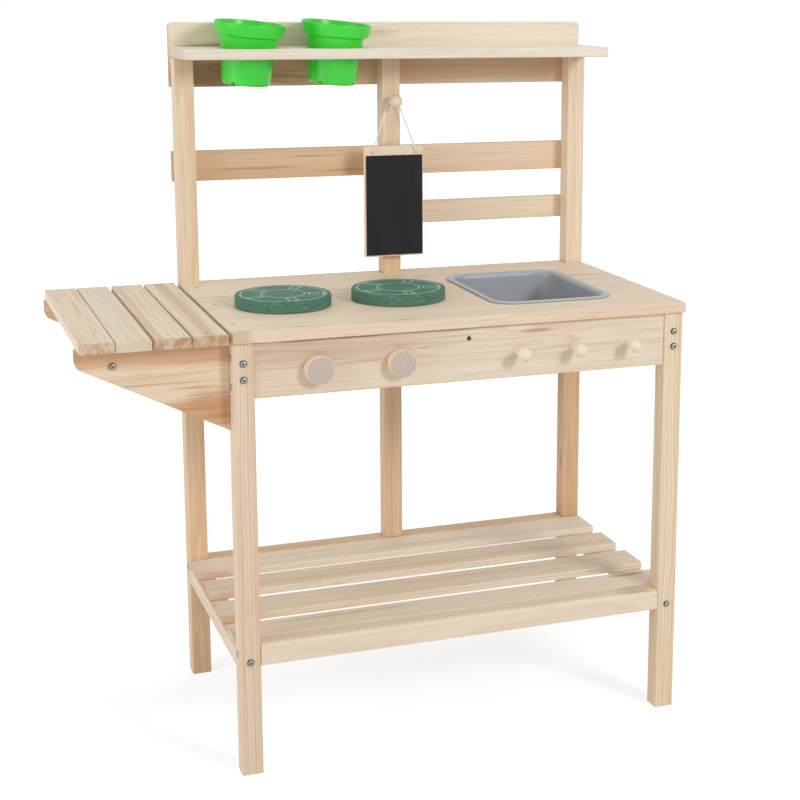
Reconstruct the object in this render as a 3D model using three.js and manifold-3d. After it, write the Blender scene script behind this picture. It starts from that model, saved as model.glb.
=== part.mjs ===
// Play kitchen of planed pine for a child of about three to six.
// Lengths are in millimetres. X runs along the front, Y towards the back, Z up.
// Places are worked out from the front left leg's outer foot corner, and the finished
// kitchen is then set with the middle of its footprint on the origin.

import * as THREE from 'three';
import { mergeVertices } from 'three/addons/utils/BufferGeometryUtils.js';
import Module from 'manifold-3d';

const wasm = await Module();
wasm.setup();

// Frame of square battens
const frameWidth = 640;
const frameDepth = 384;
const battenSide = 28;
const boardThickness = 15;
const edgeRound = 1.5;
const seamGap = 0.3;
const centrePostOffset = 3;

// Worktop
const worktopHeight = 607;
const worktopFrontReach = 6;
const sideReach = 1;
const worktopCornerRound = 6;
const notchClearance = 0.5;
const boardEase = 1;

// Aprons under the worktop
const apronHeight = 75;
const apronSetback = 3;
const spareHoleDiameter = 6;
const spareHoleOffset = 1;
const spareHoleDrop = 16;

// Lower shelf
const lowerShelfHeight = 183;
const lowerSlatThickness = 11;
const lowerSlatShares = [0.2341, 0.2577, 0.2505, 0.2577];
const lowerSlatGaps = [30.5, 32, 29.7];
const lowerSlatBackGap = 2;
const frontRailSeam = 1;
const frontRailDepth = 28;
const frontRailHeight = 30;
const frontRailRound = 6;
const endRailHeight = 25;

// Wing at the left
const wingReach = 192;
const wingSlatWidth = 44;
const wingSlatThickness = 14;
const wingSlatGaps = [1, 5, 3];
const wingSlatInset = 2;
const bracketThickness = 18;
const bracketSetback = 19;
const bracketRootHeight = 118;
const bracketNoseHeight = 22;
const bracketNoseRound = 12;
const crossRailMiddle = 147;
const crossRailThickness = 18;
const crossRailHeight = 44;

// Top shelf and the boards behind the posts, by their height above the worktop
const topShelfRise = 328;
const topShelfDepth = 113;
const backBoardHeight = 93;
const backBoardRise = 35;
const backBoardRound = 8;
const middleRailRise = 148;
const middleRailHeight = 44;
const halfRailRise = 71;
const halfRailHeight = 34;

// Flower pots, which stand a little crooked in the holes of the top shelf
const potHeight = 88;
const potBottomRadius = 34;
const potBodyRadius = 41;
const potRimUnderRadius = 47;
const potRimRadius = 50.7;
const potRimHeight = 18;
const potWall = 1.6;
const potBase = 2;
const potBottomRound = 3;
const potDepthBelowShelf = 37;
const potClearance = 0.3;
const potSideTilt = THREE.MathUtils.degToRad(4.5);
const potFrontTilt = THREE.MathUtils.degToRad(4);
const potMiddleShares = [0.1578, 0.35625];
const potBackDistance = 57;
const drainSlots = 4;
const drainSlotWidth = 6;
const drainSlotHeight = 5;

// Hob discs, with shares of the frame's width and depth
const burnerShare = 0.20625;
const burnerThickness = 16;
const burnerEase = 1.5;
const burnerPlaceShares = [[0.1633, 0.40625], [0.4203, 0.3984]];

// Drop-in basin
const basinMiddleAlongShare = 0.7375;
const basinMiddleDeepShare = 0.4596;
const basinLengthShare = 0.2875;
const basinWidthShare = 0.6328;
const basinDepth = 88;
const basinWall = 2.4;
const basinRimWidth = 11;
const basinRimHeight = 3;
const basinRimCorner = 30;
const basinCornerShare = 0.4;
const basinDraft = 8;
const basinBottomRound = 16;
const basinHoleClearance = 1.5;

// Knobs, each turning on a screw that comes through the apron from behind
const knobDrop = 41;
const knobMiddleShares = [0.175, 0.35];
const knobDiameter = 38;
const knobThickness = 15;
const knobFaceRound = 2.5;
const knobRunningGap = 0.5;
const knobScrewGrip = 10;
const pivotClearance = 0.4;

// Turned pegs
const pegMiddleShares = [0.6125, 0.7414, 0.8703];
const pegDrop = 39;
const pegHeadRadius = 9.5;
const pegHeadMiddle = 24.5;
const pegNeckRadius = 4.6;
const pegBaseRadius = 6;
const pegBaseLength = 5;
const tenonRadius = 4;
const tenonLength = 12;
const boardPegDrop = 65;

// Chalkboard, which hangs by its string on the peg of the centre post
const chalkboardWidth = 92;
const chalkboardHeight = 168;
const chalkboardThickness = 8;
const chalkboardDrop = 67;
const panelThickness = 1.5;
const panelSideMargin = 2;
const panelBottomMargin = 2.5;
const panelTopMargin = 14.5;
const stringHoleInset = 11.5;
const stringHoleDrop = 10;
const stringHoleDiameter = 4;
const stringDiameter = 2.5;
const knotRadius = 2.2;
const knotRunningGap = 0.2;

// Bolts with domed heads
const boltShankDiameter = 4;
const boltHeadDiameter = 9.5;
const boltHeadHeight = 3.2;
const boltHeadEdge = 0.8;
const boltLength = 50;
const boltTip = 3;
const boltClearance = 0.3;
const apronBoltDrops = [27, 48.5];
const apronEndBoltDrops = [20.5, 59];

// Fineness of round stretches
const edgeSteps = 1;
const arcSteps = 3;
const headSteps = 7;
const boltTurn = 10;
const smallTurn = 16;
const knobTurn = 32;
const potTurn = 36;
const discTurn = 48;
const cornerSteps = 4;
const stringSides = 8;
const stringSteps = 52;
const cutOverrun = 1;

// Heights and places that follow from the sizes above
const legTop = worktopHeight - boardThickness;
const rightLeg = frameWidth - battenSide;
const centrePostMiddle = frameWidth / 2 + centrePostOffset;
const topShelfUnderside = worktopHeight + topShelfRise;
const middleRailUnderside = worktopHeight + middleRailRise;
const halfRailUnderside = worktopHeight + halfRailRise;
const boardPegHeight = topShelfUnderside - boardPegDrop;
const chalkboardTop = boardPegHeight - chalkboardDrop;
const controlHeight = legTop - knobDrop;
const pegHeight = legTop - pegDrop;
const knobMiddles = knobMiddleShares.map((share) => share * frameWidth);
const pegMiddles = pegMiddleShares.map((share) => share * frameWidth);
const potMiddles = potMiddleShares.map((share) => share * frameWidth);
const postFront = frameDepth - battenSide;
const boardBack = frameDepth + seamGap + boardThickness;
const apronBottom = legTop - apronHeight;
const apronBack = apronSetback + boardThickness;
const sideApronInset = (battenSide - boardThickness) / 2;
const topShelfTop = topShelfUnderside + boardThickness;
const centrePostLeft = centrePostMiddle - battenSide / 2;
const centrePostRight = centrePostMiddle + battenSide / 2;
const lowerSlatUnderside = lowerShelfHeight - lowerSlatThickness;
const lowerSlatFront = frontRailDepth + frontRailSeam;
const lowerSlatSpace = postFront - lowerSlatBackGap - lowerSlatFront
  - lowerSlatGaps.reduce((sum, gap) => sum + gap);
const endRailUnderside = lowerSlatUnderside - endRailHeight;
const backRailUnderside = lowerShelfHeight - battenSide;
const frontRailMiddle = lowerShelfHeight - frontRailHeight / 2;
const backRailMiddle = lowerShelfHeight - battenSide / 2;
const endRailMiddle = lowerSlatUnderside - endRailHeight / 2;

const pine = (color, roughness = 0.62) => new THREE.MeshStandardMaterial({ color, roughness, metalness: 0 });
const legPine = pine(0xe8d3b8);
const topPine = pine(0xd9c4a8);
const slatPine = pine(0xe2cba8);
const bracketPine = pine(0xdcb487);
const railPine = pine(0xd2b48c);
const pegWood = pine(0xece3c8, 0.5);
const knobWood = pine(0xc9b3a2, 0.55);
const burnerPaint = new THREE.MeshStandardMaterial({ color: 0x4b7d69, roughness: 0.6, metalness: 0 });
const potPlastic = new THREE.MeshStandardMaterial({ color: 0x4bd74b, roughness: 0.35, metalness: 0 });
const basinPlastic = new THREE.MeshStandardMaterial({ color: 0x808a8e, roughness: 0.4, metalness: 0 });
const slateBlack = new THREE.MeshStandardMaterial({ color: 0x2c2c30, roughness: 0.85, metalness: 0 });
const cottonWhite = new THREE.MeshStandardMaterial({ color: 0xf2f2ee, roughness: 0.9, metalness: 0 });
const zinc = new THREE.MeshStandardMaterial({ color: 0xa9b4b6, roughness: 0.3, metalness: 0.9 });

const kitchen = new THREE.Group();

function place(name, geometry, material, position, parent = kitchen) {
  const mesh = new THREE.Mesh(geometry, material);
  mesh.name = name;
  mesh.position.copy(position);
  parent.add(mesh);
  return mesh;
}

// A closed surface becomes a solid that can be cut, and the other way round.
function toSolid(geometry) {
  const bare = geometry.clone();
  bare.deleteAttribute('normal');
  bare.deleteAttribute('uv');
  const merged = mergeVertices(bare);
  const vertProperties = Float32Array.from(merged.attributes.position.array);
  const triVerts = Uint32Array.from(merged.index.array);
  return new wasm.Manifold(new wasm.Mesh({ numProp: 3, vertProperties, triVerts }));
}

function toGeometry(solid) {
  const mesh = solid.getMesh();
  const geometry = new THREE.BufferGeometry();
  geometry.setAttribute('position', new THREE.BufferAttribute(mesh.vertProperties, mesh.numProp));
  geometry.setIndex(new THREE.BufferAttribute(mesh.triVerts, 1));
  geometry.computeVertexNormals();
  return geometry;
}

function cutAway(geometry, cutters) {
  return toGeometry(cutters.reduce((solid, cutter) => solid.subtract(toSolid(cutter)), toSolid(geometry)));
}

function joinTo(geometry, additions) {
  return toGeometry(additions.reduce((solid, addition) => solid.add(toSolid(addition)), toSolid(geometry)));
}

function roundedRectangle(width, height, radius) {
  const shape = new THREE.Shape();
  const right = width / 2;
  const top = height / 2;
  shape.absarc(right - radius, top - radius, radius, 0, Math.PI / 2);
  shape.absarc(radius - right, top - radius, radius, Math.PI / 2, Math.PI);
  shape.absarc(radius - right, radius - top, radius, Math.PI, Math.PI * 1.5);
  shape.absarc(right - radius, radius - top, radius, Math.PI * 1.5, Math.PI * 2);
  shape.closePath();
  return shape;
}

// A round bore or pin: a cylinder from a point, along a unit direction.
function rod(start, direction, radius, length) {
  const cylinder = new THREE.CylinderGeometry(radius, radius, length, boltTurn);
  cylinder.translate(0, length / 2, 0);
  cylinder.applyQuaternion(new THREE.Quaternion().setFromUnitVectors(new THREE.Vector3(0, 1, 0), direction));
  cylinder.translate(start.x, start.y, start.z);
  return cylinder;
}

// A planed board or batten between two corners. Its long edges, along the grain, are eased.
const axes = ['x', 'y', 'z'];
function plank(name, material, low, high, grain, cutters = []) {
  const along = axes.indexOf(grain);
  const across = [(along + 1) % axes.length, (along + 2) % axes.length];
  const [width, height] = across.map((axis) => high[axis] - low[axis]);
  const length = high[along] - low[along];
  const unit = axes.map((axis, index) => new THREE.Vector3().setComponent(index, 1));
  const turn = new THREE.Matrix4().makeBasis(unit[across[0]], unit[across[1]], unit[along]);
  const profile = roundedRectangle(width, height, edgeRound);
  const options = { depth: length, bevelEnabled: false, curveSegments: edgeSteps };
  let geometry = new THREE.ExtrudeGeometry(profile, options);
  geometry.translate(0, 0, -length / 2);
  geometry.applyMatrix4(turn);
  const middle = new THREE.Vector3(...low).add(new THREE.Vector3(...high)).multiplyScalar(0.5);
  if (cutters.length > 0) {
    const toMiddle = (cutter) => cutter.clone().translate(-middle.x, -middle.y, -middle.z);
    geometry = cutAway(geometry, cutters.map(toMiddle));
  }
  return place(name, geometry, material, middle);
}

// Bolts and screws. Each starts at the face under its head and runs into the wood.
function boltGeometry(length) {
  const head = boltHeadDiameter / 2;
  const shank = boltShankDiameter / 2;
  const crown = boltHeadHeight - boltHeadEdge;
  const points = [];
  for (let step = 0; step <= arcSteps; step += 1) {
    const angle = (step / arcSteps) * (Math.PI / 2);
    points.push(new THREE.Vector2(head * Math.sin(angle), -boltHeadEdge - crown * Math.cos(angle)));
  }
  points.push(new THREE.Vector2(head, 0));
  points.push(new THREE.Vector2(shank, 0));
  points.push(new THREE.Vector2(shank, length - boltTip));
  points.push(new THREE.Vector2(0, length));
  return new THREE.LatheGeometry(points, boltTurn);
}

const inwards = new THREE.Vector3(0, 1, 0);
const outwards = new THREE.Vector3(0, -1, 0);
const rightwards = new THREE.Vector3(1, 0, 0);
const leftwards = new THREE.Vector3(-1, 0, 0);

const boltAt = (x, y, z, direction) => ({ start: new THREE.Vector3(x, y, z), direction });

function boltBore(bolt) {
  const start = bolt.start.clone().addScaledVector(bolt.direction, -cutOverrun);
  const length = boltLength + cutOverrun + boltClearance;
  return rod(start, bolt.direction, boltShankDiameter / 2 + boltClearance, length);
}

function placeBolt(name, bolt) {
  const seat = bolt.start.clone().addScaledVector(bolt.direction, -seamGap / 2);
  const mesh = place(name, boltGeometry(boltLength), zinc, seat);
  mesh.quaternion.setFromUnitVectors(new THREE.Vector3(0, 1, 0), bolt.direction);
}

const boreFrom = (bolt, from) => boltBore(bolt).translate(-from.x, -from.y, -from.z);

// A bolt that comes in from the back is one solid with the rail that its thread holds.
function fuseBolts(mesh, bolts) {
  mesh.geometry = joinTo(mesh.geometry, bolts.map((bolt) => {
    const seat = bolt.start.clone().addScaledVector(bolt.direction, -seamGap / 2).sub(mesh.position);
    const turn = new THREE.Quaternion().setFromUnitVectors(new THREE.Vector3(0, 1, 0), bolt.direction);
    return boltGeometry(boltLength).applyQuaternion(turn).translate(seat.x, seat.y, seat.z);
  }));
}

// Both sides of the frame are alike, so each side lists its bolts from its own outer face.
const sides = [
  { side: 'left', outer: 0, low: 0, high: battenSide, inward: rightwards },
  { side: 'right', outer: frameWidth, low: rightLeg, high: frameWidth, inward: leftwards },
];
for (const half of sides) {
  half.middle = (half.low + half.high) / 2;
  const frontHeights = [...apronBoltDrops.map((drop) => legTop - drop), endRailMiddle];
  const apronMiddle = apronSetback + boardThickness / 2;
  half.frontBolts = frontHeights.map((height) => boltAt(half.middle, 0, height, inwards));
  half.apronEndBolts = apronEndBoltDrops.map(
    (drop) => boltAt(half.outer, apronMiddle, legTop - drop, half.inward),
  );
  half.frontRailBolt = boltAt(half.outer, battenSide / 2, frontRailMiddle, half.inward);
  half.backRailBolt = boltAt(half.outer, frameDepth - battenSide / 2, backRailMiddle, half.inward);
  half.backBolts = frontHeights.map((height) => boltAt(half.middle, frameDepth, height, outwards));
}

// Legs and posts
for (const { side, low, high, ...half } of sides) {
  const legBolts = [...half.frontBolts, ...half.apronEndBolts, half.frontRailBolt];
  plank(`front_${side}_leg`, legPine, [low, 0, 0], [high, battenSide, legTop - seamGap], 'z',
    legBolts.map(boltBore));
  plank(`rear_${side}_post`, legPine, [low, postFront, 0], [high, frameDepth, topShelfUnderside], 'z',
    [half.backRailBolt, ...half.backBolts].map(boltBore));
}
plank('centre_post', legPine, [centrePostLeft, postFront, lowerShelfHeight + seamGap],
  [centrePostRight, frameDepth, topShelfUnderside], 'z', [
    rod(new THREE.Vector3(centrePostMiddle, postFront - cutOverrun, boardPegHeight), inwards,
      tenonRadius + seamGap, cutOverrun + tenonLength + seamGap),
  ]);

// Aprons
const apronFront = new THREE.Vector3(0, apronSetback - cutOverrun, 0);
const throughApron = boardThickness + 2 * cutOverrun;
const spareHoleMiddle = frameWidth / 2 + spareHoleOffset;
const apronBores = [
  ...knobMiddles.map((x) => rod(apronFront.clone().add(new THREE.Vector3(x, 0, controlHeight)), inwards,
    boltShankDiameter / 2 + pivotClearance, throughApron)),
  ...pegMiddles.map((x) => rod(apronFront.clone().add(new THREE.Vector3(x, 0, pegHeight)), inwards,
    tenonRadius + seamGap, cutOverrun + tenonLength + seamGap)),
  rod(apronFront.clone().add(new THREE.Vector3(spareHoleMiddle, 0, legTop - spareHoleDrop)), inwards,
    spareHoleDiameter / 2, throughApron),
  ...sides.flatMap((half) => half.apronEndBolts.map(boltBore)),
];
plank('front_apron', legPine, [battenSide + seamGap, apronSetback, apronBottom],
  [rightLeg - seamGap, apronBack, legTop - seamGap], 'x', apronBores);
for (const half of sides) {
  const low = half.middle - boardThickness / 2;
  const apron = plank(`side_apron_${half.side}`, legPine, [low, battenSide + seamGap, apronBottom],
    [low + boardThickness, postFront - seamGap, legTop - seamGap], 'y',
    half.frontBolts.slice(0, 2).map(boltBore));
  fuseBolts(apron, half.backBolts.slice(0, 2));
}
const rearApronEnd = sideApronInset + boardThickness + seamGap;
plank('rear_apron', legPine, [rearApronEnd, postFront - seamGap - boardThickness, apronBottom],
  [frameWidth - rearApronEnd, postFront - seamGap, legTop - seamGap], 'x');

// Worktop, notched round the three posts and cut out for the basin
const basinLength = basinLengthShare * frameWidth;
const basinWidth = basinWidthShare * frameDepth;
const basinPlace = new THREE.Vector2(basinMiddleAlongShare * frameWidth, basinMiddleDeepShare * frameDepth);
const basinHoleInset = basinRimWidth - basinWall - basinHoleClearance;
const basinHole = roundedRectangle(
  basinLength - 2 * basinHoleInset,
  basinWidth - 2 * basinHoleInset,
  basinRimCorner - basinCornerShare * basinHoleInset,
);
const flatBoard = (shape, thickness) => {
  const options = {
    depth: thickness - 2 * boardEase,
    bevelSize: boardEase,
    bevelThickness: boardEase,
    bevelOffset: -boardEase,
    bevelSegments: 1,
    curveSegments: cornerSteps,
  };
  return new THREE.ExtrudeGeometry(shape, options).translate(0, 0, boardEase);
};

function worktopOutline() {
  const left = -sideReach;
  const right = frameWidth + sideReach;
  const front = -worktopFrontReach;
  const notch = postFront - notchClearance;
  const shape = new THREE.Shape();
  shape.moveTo(left + worktopCornerRound, front);
  shape.lineTo(right, front);
  shape.lineTo(right, notch);
  shape.lineTo(rightLeg - notchClearance, notch);
  shape.lineTo(rightLeg - notchClearance, frameDepth);
  shape.lineTo(centrePostRight + notchClearance, frameDepth);
  shape.lineTo(centrePostRight + notchClearance, notch);
  shape.lineTo(centrePostLeft - notchClearance, notch);
  shape.lineTo(centrePostLeft - notchClearance, frameDepth);
  shape.lineTo(battenSide + notchClearance, frameDepth);
  shape.lineTo(battenSide + notchClearance, notch);
  shape.lineTo(left, notch);
  shape.lineTo(left, front + worktopCornerRound);
  const round = worktopCornerRound;
  shape.absarc(left + round, front + round, round, Math.PI, Math.PI * 1.5);
  return shape;
}

const worktopShape = worktopOutline();
const basinHolePoints = basinHole.getPoints(cornerSteps).map((point) => point.add(basinPlace));
worktopShape.holes.push(new THREE.Path(basinHolePoints));
place('worktop', flatBoard(worktopShape, boardThickness), topPine, new THREE.Vector3(0, 0, legTop));

// Lower shelf
for (const { side, low, high, frontBolts, backBolts } of sides) {
  const rail = plank(`lower_end_rail_${side}`, railPine, [low, battenSide + seamGap, endRailUnderside],
    [high, postFront - seamGap, lowerSlatUnderside - seamGap], 'y', frontBolts.slice(2).map(boltBore));
  fuseBolts(rail, backBolts.slice(2));
}

function frontRailProfile() {
  const bottom = -frontRailHeight;
  const shape = new THREE.Shape();
  shape.moveTo(edgeRound, bottom);
  shape.lineTo(frontRailDepth - edgeRound, bottom);
  shape.absarc(frontRailDepth - edgeRound, bottom + edgeRound, edgeRound, Math.PI * 1.5, Math.PI * 2);
  shape.absarc(frontRailDepth - edgeRound, -edgeRound, edgeRound, 0, Math.PI / 2);
  shape.absarc(frontRailRound, -frontRailRound, frontRailRound, Math.PI / 2, Math.PI);
  shape.absarc(edgeRound, bottom + edgeRound, edgeRound, Math.PI, Math.PI * 1.5);
  return shape;
}

const frontRailLength = rightLeg - battenSide - 2 * seamGap;
const frontRailPlace = new THREE.Vector3(battenSide + seamGap, 0, lowerShelfHeight);
const frontRail = new THREE.ExtrudeGeometry(frontRailProfile(),
  { depth: frontRailLength, bevelEnabled: false, curveSegments: cornerSteps });
frontRail.applyMatrix4(new THREE.Matrix4().makeBasis(
  new THREE.Vector3(0, 1, 0), new THREE.Vector3(0, 0, 1), new THREE.Vector3(1, 0, 0),
));
const frontRailBores = sides.map((half) => boreFrom(half.frontRailBolt, frontRailPlace));
place('lower_front_rail', cutAway(frontRail, frontRailBores), slatPine, frontRailPlace);

plank('lower_back_rail', railPine, [battenSide + seamGap, postFront, backRailUnderside],
  [rightLeg - seamGap, frameDepth, lowerShelfHeight], 'x', sides.map((half) => boltBore(half.backRailBolt)));

let slatFront = lowerSlatFront;
lowerSlatShares.forEach((share, index) => {
  const width = share * lowerSlatSpace;
  plank(`lower_slat_${index + 1}`, slatPine, [0, slatFront, lowerSlatUnderside],
    [frameWidth, slatFront + width, lowerShelfHeight], 'x');
  slatFront += width + (lowerSlatGaps[index] ?? 0);
});

// Wing: two brackets, a cross rail between them and four slats on top
function bracketOutline() {
  const nose = new THREE.Vector2(-wingReach, -bracketNoseHeight);
  const root = new THREE.Vector2(0, -bracketRootHeight);
  const slope = root.clone().sub(nose).normalize();
  const noseAngle = Math.acos(slope.y);
  const setback = bracketNoseRound / Math.tan(noseAngle / 2);
  const start = nose.clone().add(new THREE.Vector2(0, setback));
  const end = nose.clone().addScaledVector(slope, setback);
  const shape = new THREE.Shape();
  shape.moveTo(0, 0);
  shape.lineTo(-wingReach, 0);
  shape.lineTo(start.x, start.y);
  shape.quadraticCurveTo(nose.x, nose.y, end.x, end.y);
  shape.lineTo(root.x, root.y);
  return shape;
}

const crossRailBoltHeight = legTop - crossRailHeight / 2;
const wingBolts = [
  boltAt(-crossRailMiddle, bracketSetback, crossRailBoltHeight, inwards),
  boltAt(-crossRailMiddle, frameDepth, crossRailBoltHeight, outwards),
];
const standUpright = new THREE.Matrix4().makeRotationX(Math.PI / 2);
function bracketGeometry() {
  const options = { depth: bracketThickness, bevelEnabled: false, curveSegments: cornerSteps };
  return new THREE.ExtrudeGeometry(bracketOutline(), options)
    .applyMatrix4(standUpright)
    .translate(0, bracketThickness, 0);
}
const bracketTop = legTop - seamGap;
const frontBracketBack = bracketSetback + bracketThickness;
const frontBracketPlace = new THREE.Vector3(-seamGap, bracketSetback, bracketTop);
const rearBracketPlace = new THREE.Vector3(-seamGap, frameDepth - bracketThickness, bracketTop);
place('wing_bracket_front', cutAway(bracketGeometry(), [boreFrom(wingBolts[0], frontBracketPlace)]),
  bracketPine, frontBracketPlace);
place('wing_bracket_rear', cutAway(bracketGeometry(), [boreFrom(wingBolts[1], rearBracketPlace)]),
  bracketPine, rearBracketPlace);

const crossRail = plank('wing_cross_rail', bracketPine,
  [-crossRailMiddle - crossRailThickness / 2, frontBracketBack + seamGap, legTop - crossRailHeight],
  [-crossRailMiddle + crossRailThickness / 2, frameDepth - bracketThickness - seamGap, bracketTop],
  'y', [boltBore(wingBolts[0])]);
fuseBolts(crossRail, [wingBolts[1]]);

let wingSlatLeft = wingSlatInset - wingReach;
for (let index = 0; index <= wingSlatGaps.length; index += 1) {
  plank(`wing_slat_${index + 1}`, slatPine, [wingSlatLeft, -worktopFrontReach, legTop],
    [wingSlatLeft + wingSlatWidth, frameDepth, legTop + wingSlatThickness], 'y');
  wingSlatLeft += wingSlatWidth + (wingSlatGaps[index] ?? 0);
}

// Top shelf with a round hole for each pot
const potTilt = Math.acos(Math.cos(potSideTilt) * Math.cos(potFrontTilt));
const potBodyHeight = potHeight - potRimHeight;
const potTaper = (potBodyRadius - potBottomRadius) / potBodyHeight;
const potRadiusAt = (height) => potBottomRadius + potTaper * height;
const potHoleRadius = potRadiusAt(potDepthBelowShelf + boardThickness) / Math.cos(potTilt)
  + (boardThickness / 2) * Math.tan(potTilt) + potClearance;
const topShelfFront = frameDepth - topShelfDepth;
const potMiddleY = frameDepth - potBackDistance;
const topShelfShape = new THREE.Shape();
topShelfShape.moveTo(-sideReach, topShelfFront);
topShelfShape.lineTo(frameWidth + sideReach, topShelfFront);
topShelfShape.lineTo(frameWidth + sideReach, frameDepth);
topShelfShape.lineTo(-sideReach, frameDepth);
topShelfShape.closePath();
for (const x of potMiddles) {
  const hole = new THREE.Path();
  hole.absarc(x, potMiddleY, potHoleRadius, 0, Math.PI * 2);
  topShelfShape.holes.push(new THREE.Path(hole.getPoints(potTurn / 2).slice(1)));
}
place('top_shelf', flatBoard(topShelfShape, boardThickness - seamGap), topPine,
  new THREE.Vector3(0, 0, topShelfUnderside + seamGap));

// Boards behind the posts
const backBoardShape = new THREE.Shape();
const backBoardTop = topShelfTop + backBoardRise;
const backBoardBottom = backBoardTop - backBoardHeight;
const boardRight = frameWidth + sideReach;
backBoardShape.moveTo(-sideReach, backBoardBottom);
backBoardShape.lineTo(boardRight, backBoardBottom);
const backRoundHeight = backBoardTop - backBoardRound;
backBoardShape.absarc(boardRight - backBoardRound, backRoundHeight, backBoardRound, 0, Math.PI / 2);
backBoardShape.absarc(backBoardRound - sideReach, backRoundHeight, backBoardRound, Math.PI / 2, Math.PI);
place('top_back_board', flatBoard(backBoardShape, boardThickness).applyMatrix4(standUpright), topPine,
  new THREE.Vector3(0, boardBack, 0));
plank('middle_rail', railPine, [-sideReach, frameDepth + seamGap, middleRailUnderside],
  [boardRight, boardBack, middleRailUnderside + middleRailHeight], 'x');
plank('half_rail', railPine, [centrePostLeft, frameDepth + seamGap, halfRailUnderside],
  [boardRight, boardBack, halfRailUnderside + halfRailHeight], 'x');

// Flower pots. The profile runs up the outside and down the inside, from the foot.
function potGeometry() {
  const rimUnder = potBodyHeight;
  const inside = (height) => potRadiusAt(height) - potWall;
  const lip = potWall / 2;
  const points = [
    [0, potBase / 2],
    [potBottomRadius - potBottomRound - potWall, potBase / 2],
    [potBottomRadius - potBottomRound, 0],
    [potRadiusAt(potBottomRound), potBottomRound],
    [potRadiusAt(rimUnder), rimUnder],
    [potRimUnderRadius - lip, rimUnder],
    [potRimUnderRadius, rimUnder + lip],
    [potRimRadius, potHeight - lip],
    [potRimRadius - lip, potHeight],
    [potRimRadius - potWall, potHeight - lip],
    [potRimUnderRadius - potWall, rimUnder + potWall],
    [inside(rimUnder + potWall), rimUnder + potWall],
    [inside(potBase + potBottomRound), potBase + potBottomRound],
    [inside(potBase) - potBottomRound, potBase],
    [0, potBase],
  ].map(([radius, height]) => new THREE.Vector2(radius, height));
  const body = new THREE.LatheGeometry(points, potTurn).rotateX(Math.PI / 2);
  const slots = [];
  for (let index = 0; index < drainSlots; index += 1) {
    const slot = new THREE.BoxGeometry(potBottomRadius, drainSlotWidth, 2 * drainSlotHeight);
    slot.translate(potBottomRadius + potBottomRound, 0, 0);
    slots.push(slot.rotateZ((index + 0.5) * (Math.PI * 2 / drainSlots)));
  }
  return cutAway(body, slots);
}

const potNames = ['flower_pot_left', 'flower_pot_right'];
potMiddles.forEach((x, index) => {
  const stand = new THREE.Group();
  stand.position.set(x, potMiddleY, topShelfUnderside + boardThickness / 2);
  stand.rotation.set(potFrontTilt, potSideTilt, 0);
  kitchen.add(stand);
  const foot = new THREE.Vector3(0, 0, -potDepthBelowShelf - boardThickness / 2);
  place(potNames[index], potGeometry(), potPlastic, foot, stand);
});

// Hob discs
const burnerRadius = (burnerShare * frameWidth) / 2;
const burnerProfile = [
  new THREE.Vector2(0, 0),
  new THREE.Vector2(burnerRadius - burnerEase, 0),
  new THREE.Vector2(burnerRadius, burnerEase),
  new THREE.Vector2(burnerRadius, burnerThickness - burnerEase),
  new THREE.Vector2(burnerRadius - burnerEase, burnerThickness),
  new THREE.Vector2(0, burnerThickness),
];
const burnerNames = ['burner_left', 'burner_right'];
burnerPlaceShares.forEach(([shareX, shareY], index) => {
  const disc = new THREE.LatheGeometry(burnerProfile, discTurn).rotateX(Math.PI / 2);
  const middle = new THREE.Vector3(shareX * frameWidth, shareY * frameDepth, worktopHeight + seamGap);
  place(burnerNames[index], disc, burnerPaint, middle);
});

// Basin: rounded rectangles, each set in from the rim and at its own height, joined into one skin.
function basinSections() {
  const under = 0;
  const rimTop = basinRimHeight;
  const floor = basinRimHeight - basinDepth;
  const wallTop = basinRimWidth;
  const wallFoot = basinRimWidth + basinDraft;
  const fillet = [];
  for (let step = 0; step <= arcSteps; step += 1) {
    const angle = (step / arcSteps) * (Math.PI / 2);
    fillet.push([Math.sin(angle), Math.cos(angle)]);
  }
  const outerRound = basinBottomRound + basinWall;
  const outside = fillet.map(([rise, run]) => [
    wallFoot - basinWall + outerRound * (1 - run),
    floor - basinWall + outerRound * (1 - rise),
  ]).reverse();
  const inside = fillet.map(([rise, run]) => [
    wallFoot + basinBottomRound * (1 - run),
    floor + basinBottomRound * (1 - rise),
  ]);
  return [
    ...outside,
    [wallTop - basinWall, under],
    [basinWall / 2, under],
    [0, basinWall / 2],
    [basinWall / 2, rimTop - basinWall / 4],
    [basinRimWidth / 3, rimTop],
    [wallTop - basinRimWidth / 4, rimTop - basinWall / 4],
    [wallTop, under - basinWall / 2],
    ...inside,
  ];
}

function basinGeometry() {
  const positions = [];
  const indices = [];
  const sections = basinSections();
  let ringSize = 0;
  for (const [inset, height] of sections) {
    const corner = basinRimCorner - basinCornerShare * inset;
    const outline = roundedRectangle(basinLength - 2 * inset, basinWidth - 2 * inset, corner);
    const points = outline.getPoints(cornerSteps).slice(0, -1);
    ringSize = points.length;
    points.forEach((point) => positions.push(point.x, point.y, height));
  }
  for (let row = 0; row < sections.length - 1; row += 1) {
    for (let column = 0; column < ringSize; column += 1) {
      const next = (column + 1) % ringSize;
      const [a, b] = [row * ringSize + column, row * ringSize + next];
      indices.push(a, b, b + ringSize, a, b + ringSize, a + ringSize);
    }
  }
  const last = (sections.length - 1) * ringSize;
  const [outsideMiddle, insideMiddle] = [sections.at(0), sections.at(-1)].map(([, height]) => {
    positions.push(0, 0, height);
    return positions.length / 3 - 1;
  });
  for (let column = 0; column < ringSize; column += 1) {
    const next = (column + 1) % ringSize;
    indices.push(outsideMiddle, next, column);
    indices.push(insideMiddle, last + column, last + next);
  }
  const geometry = new THREE.BufferGeometry();
  geometry.setAttribute('position', new THREE.Float32BufferAttribute(positions, 3));
  geometry.setIndex(indices);
  geometry.computeVertexNormals();
  return geometry;
}
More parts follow.
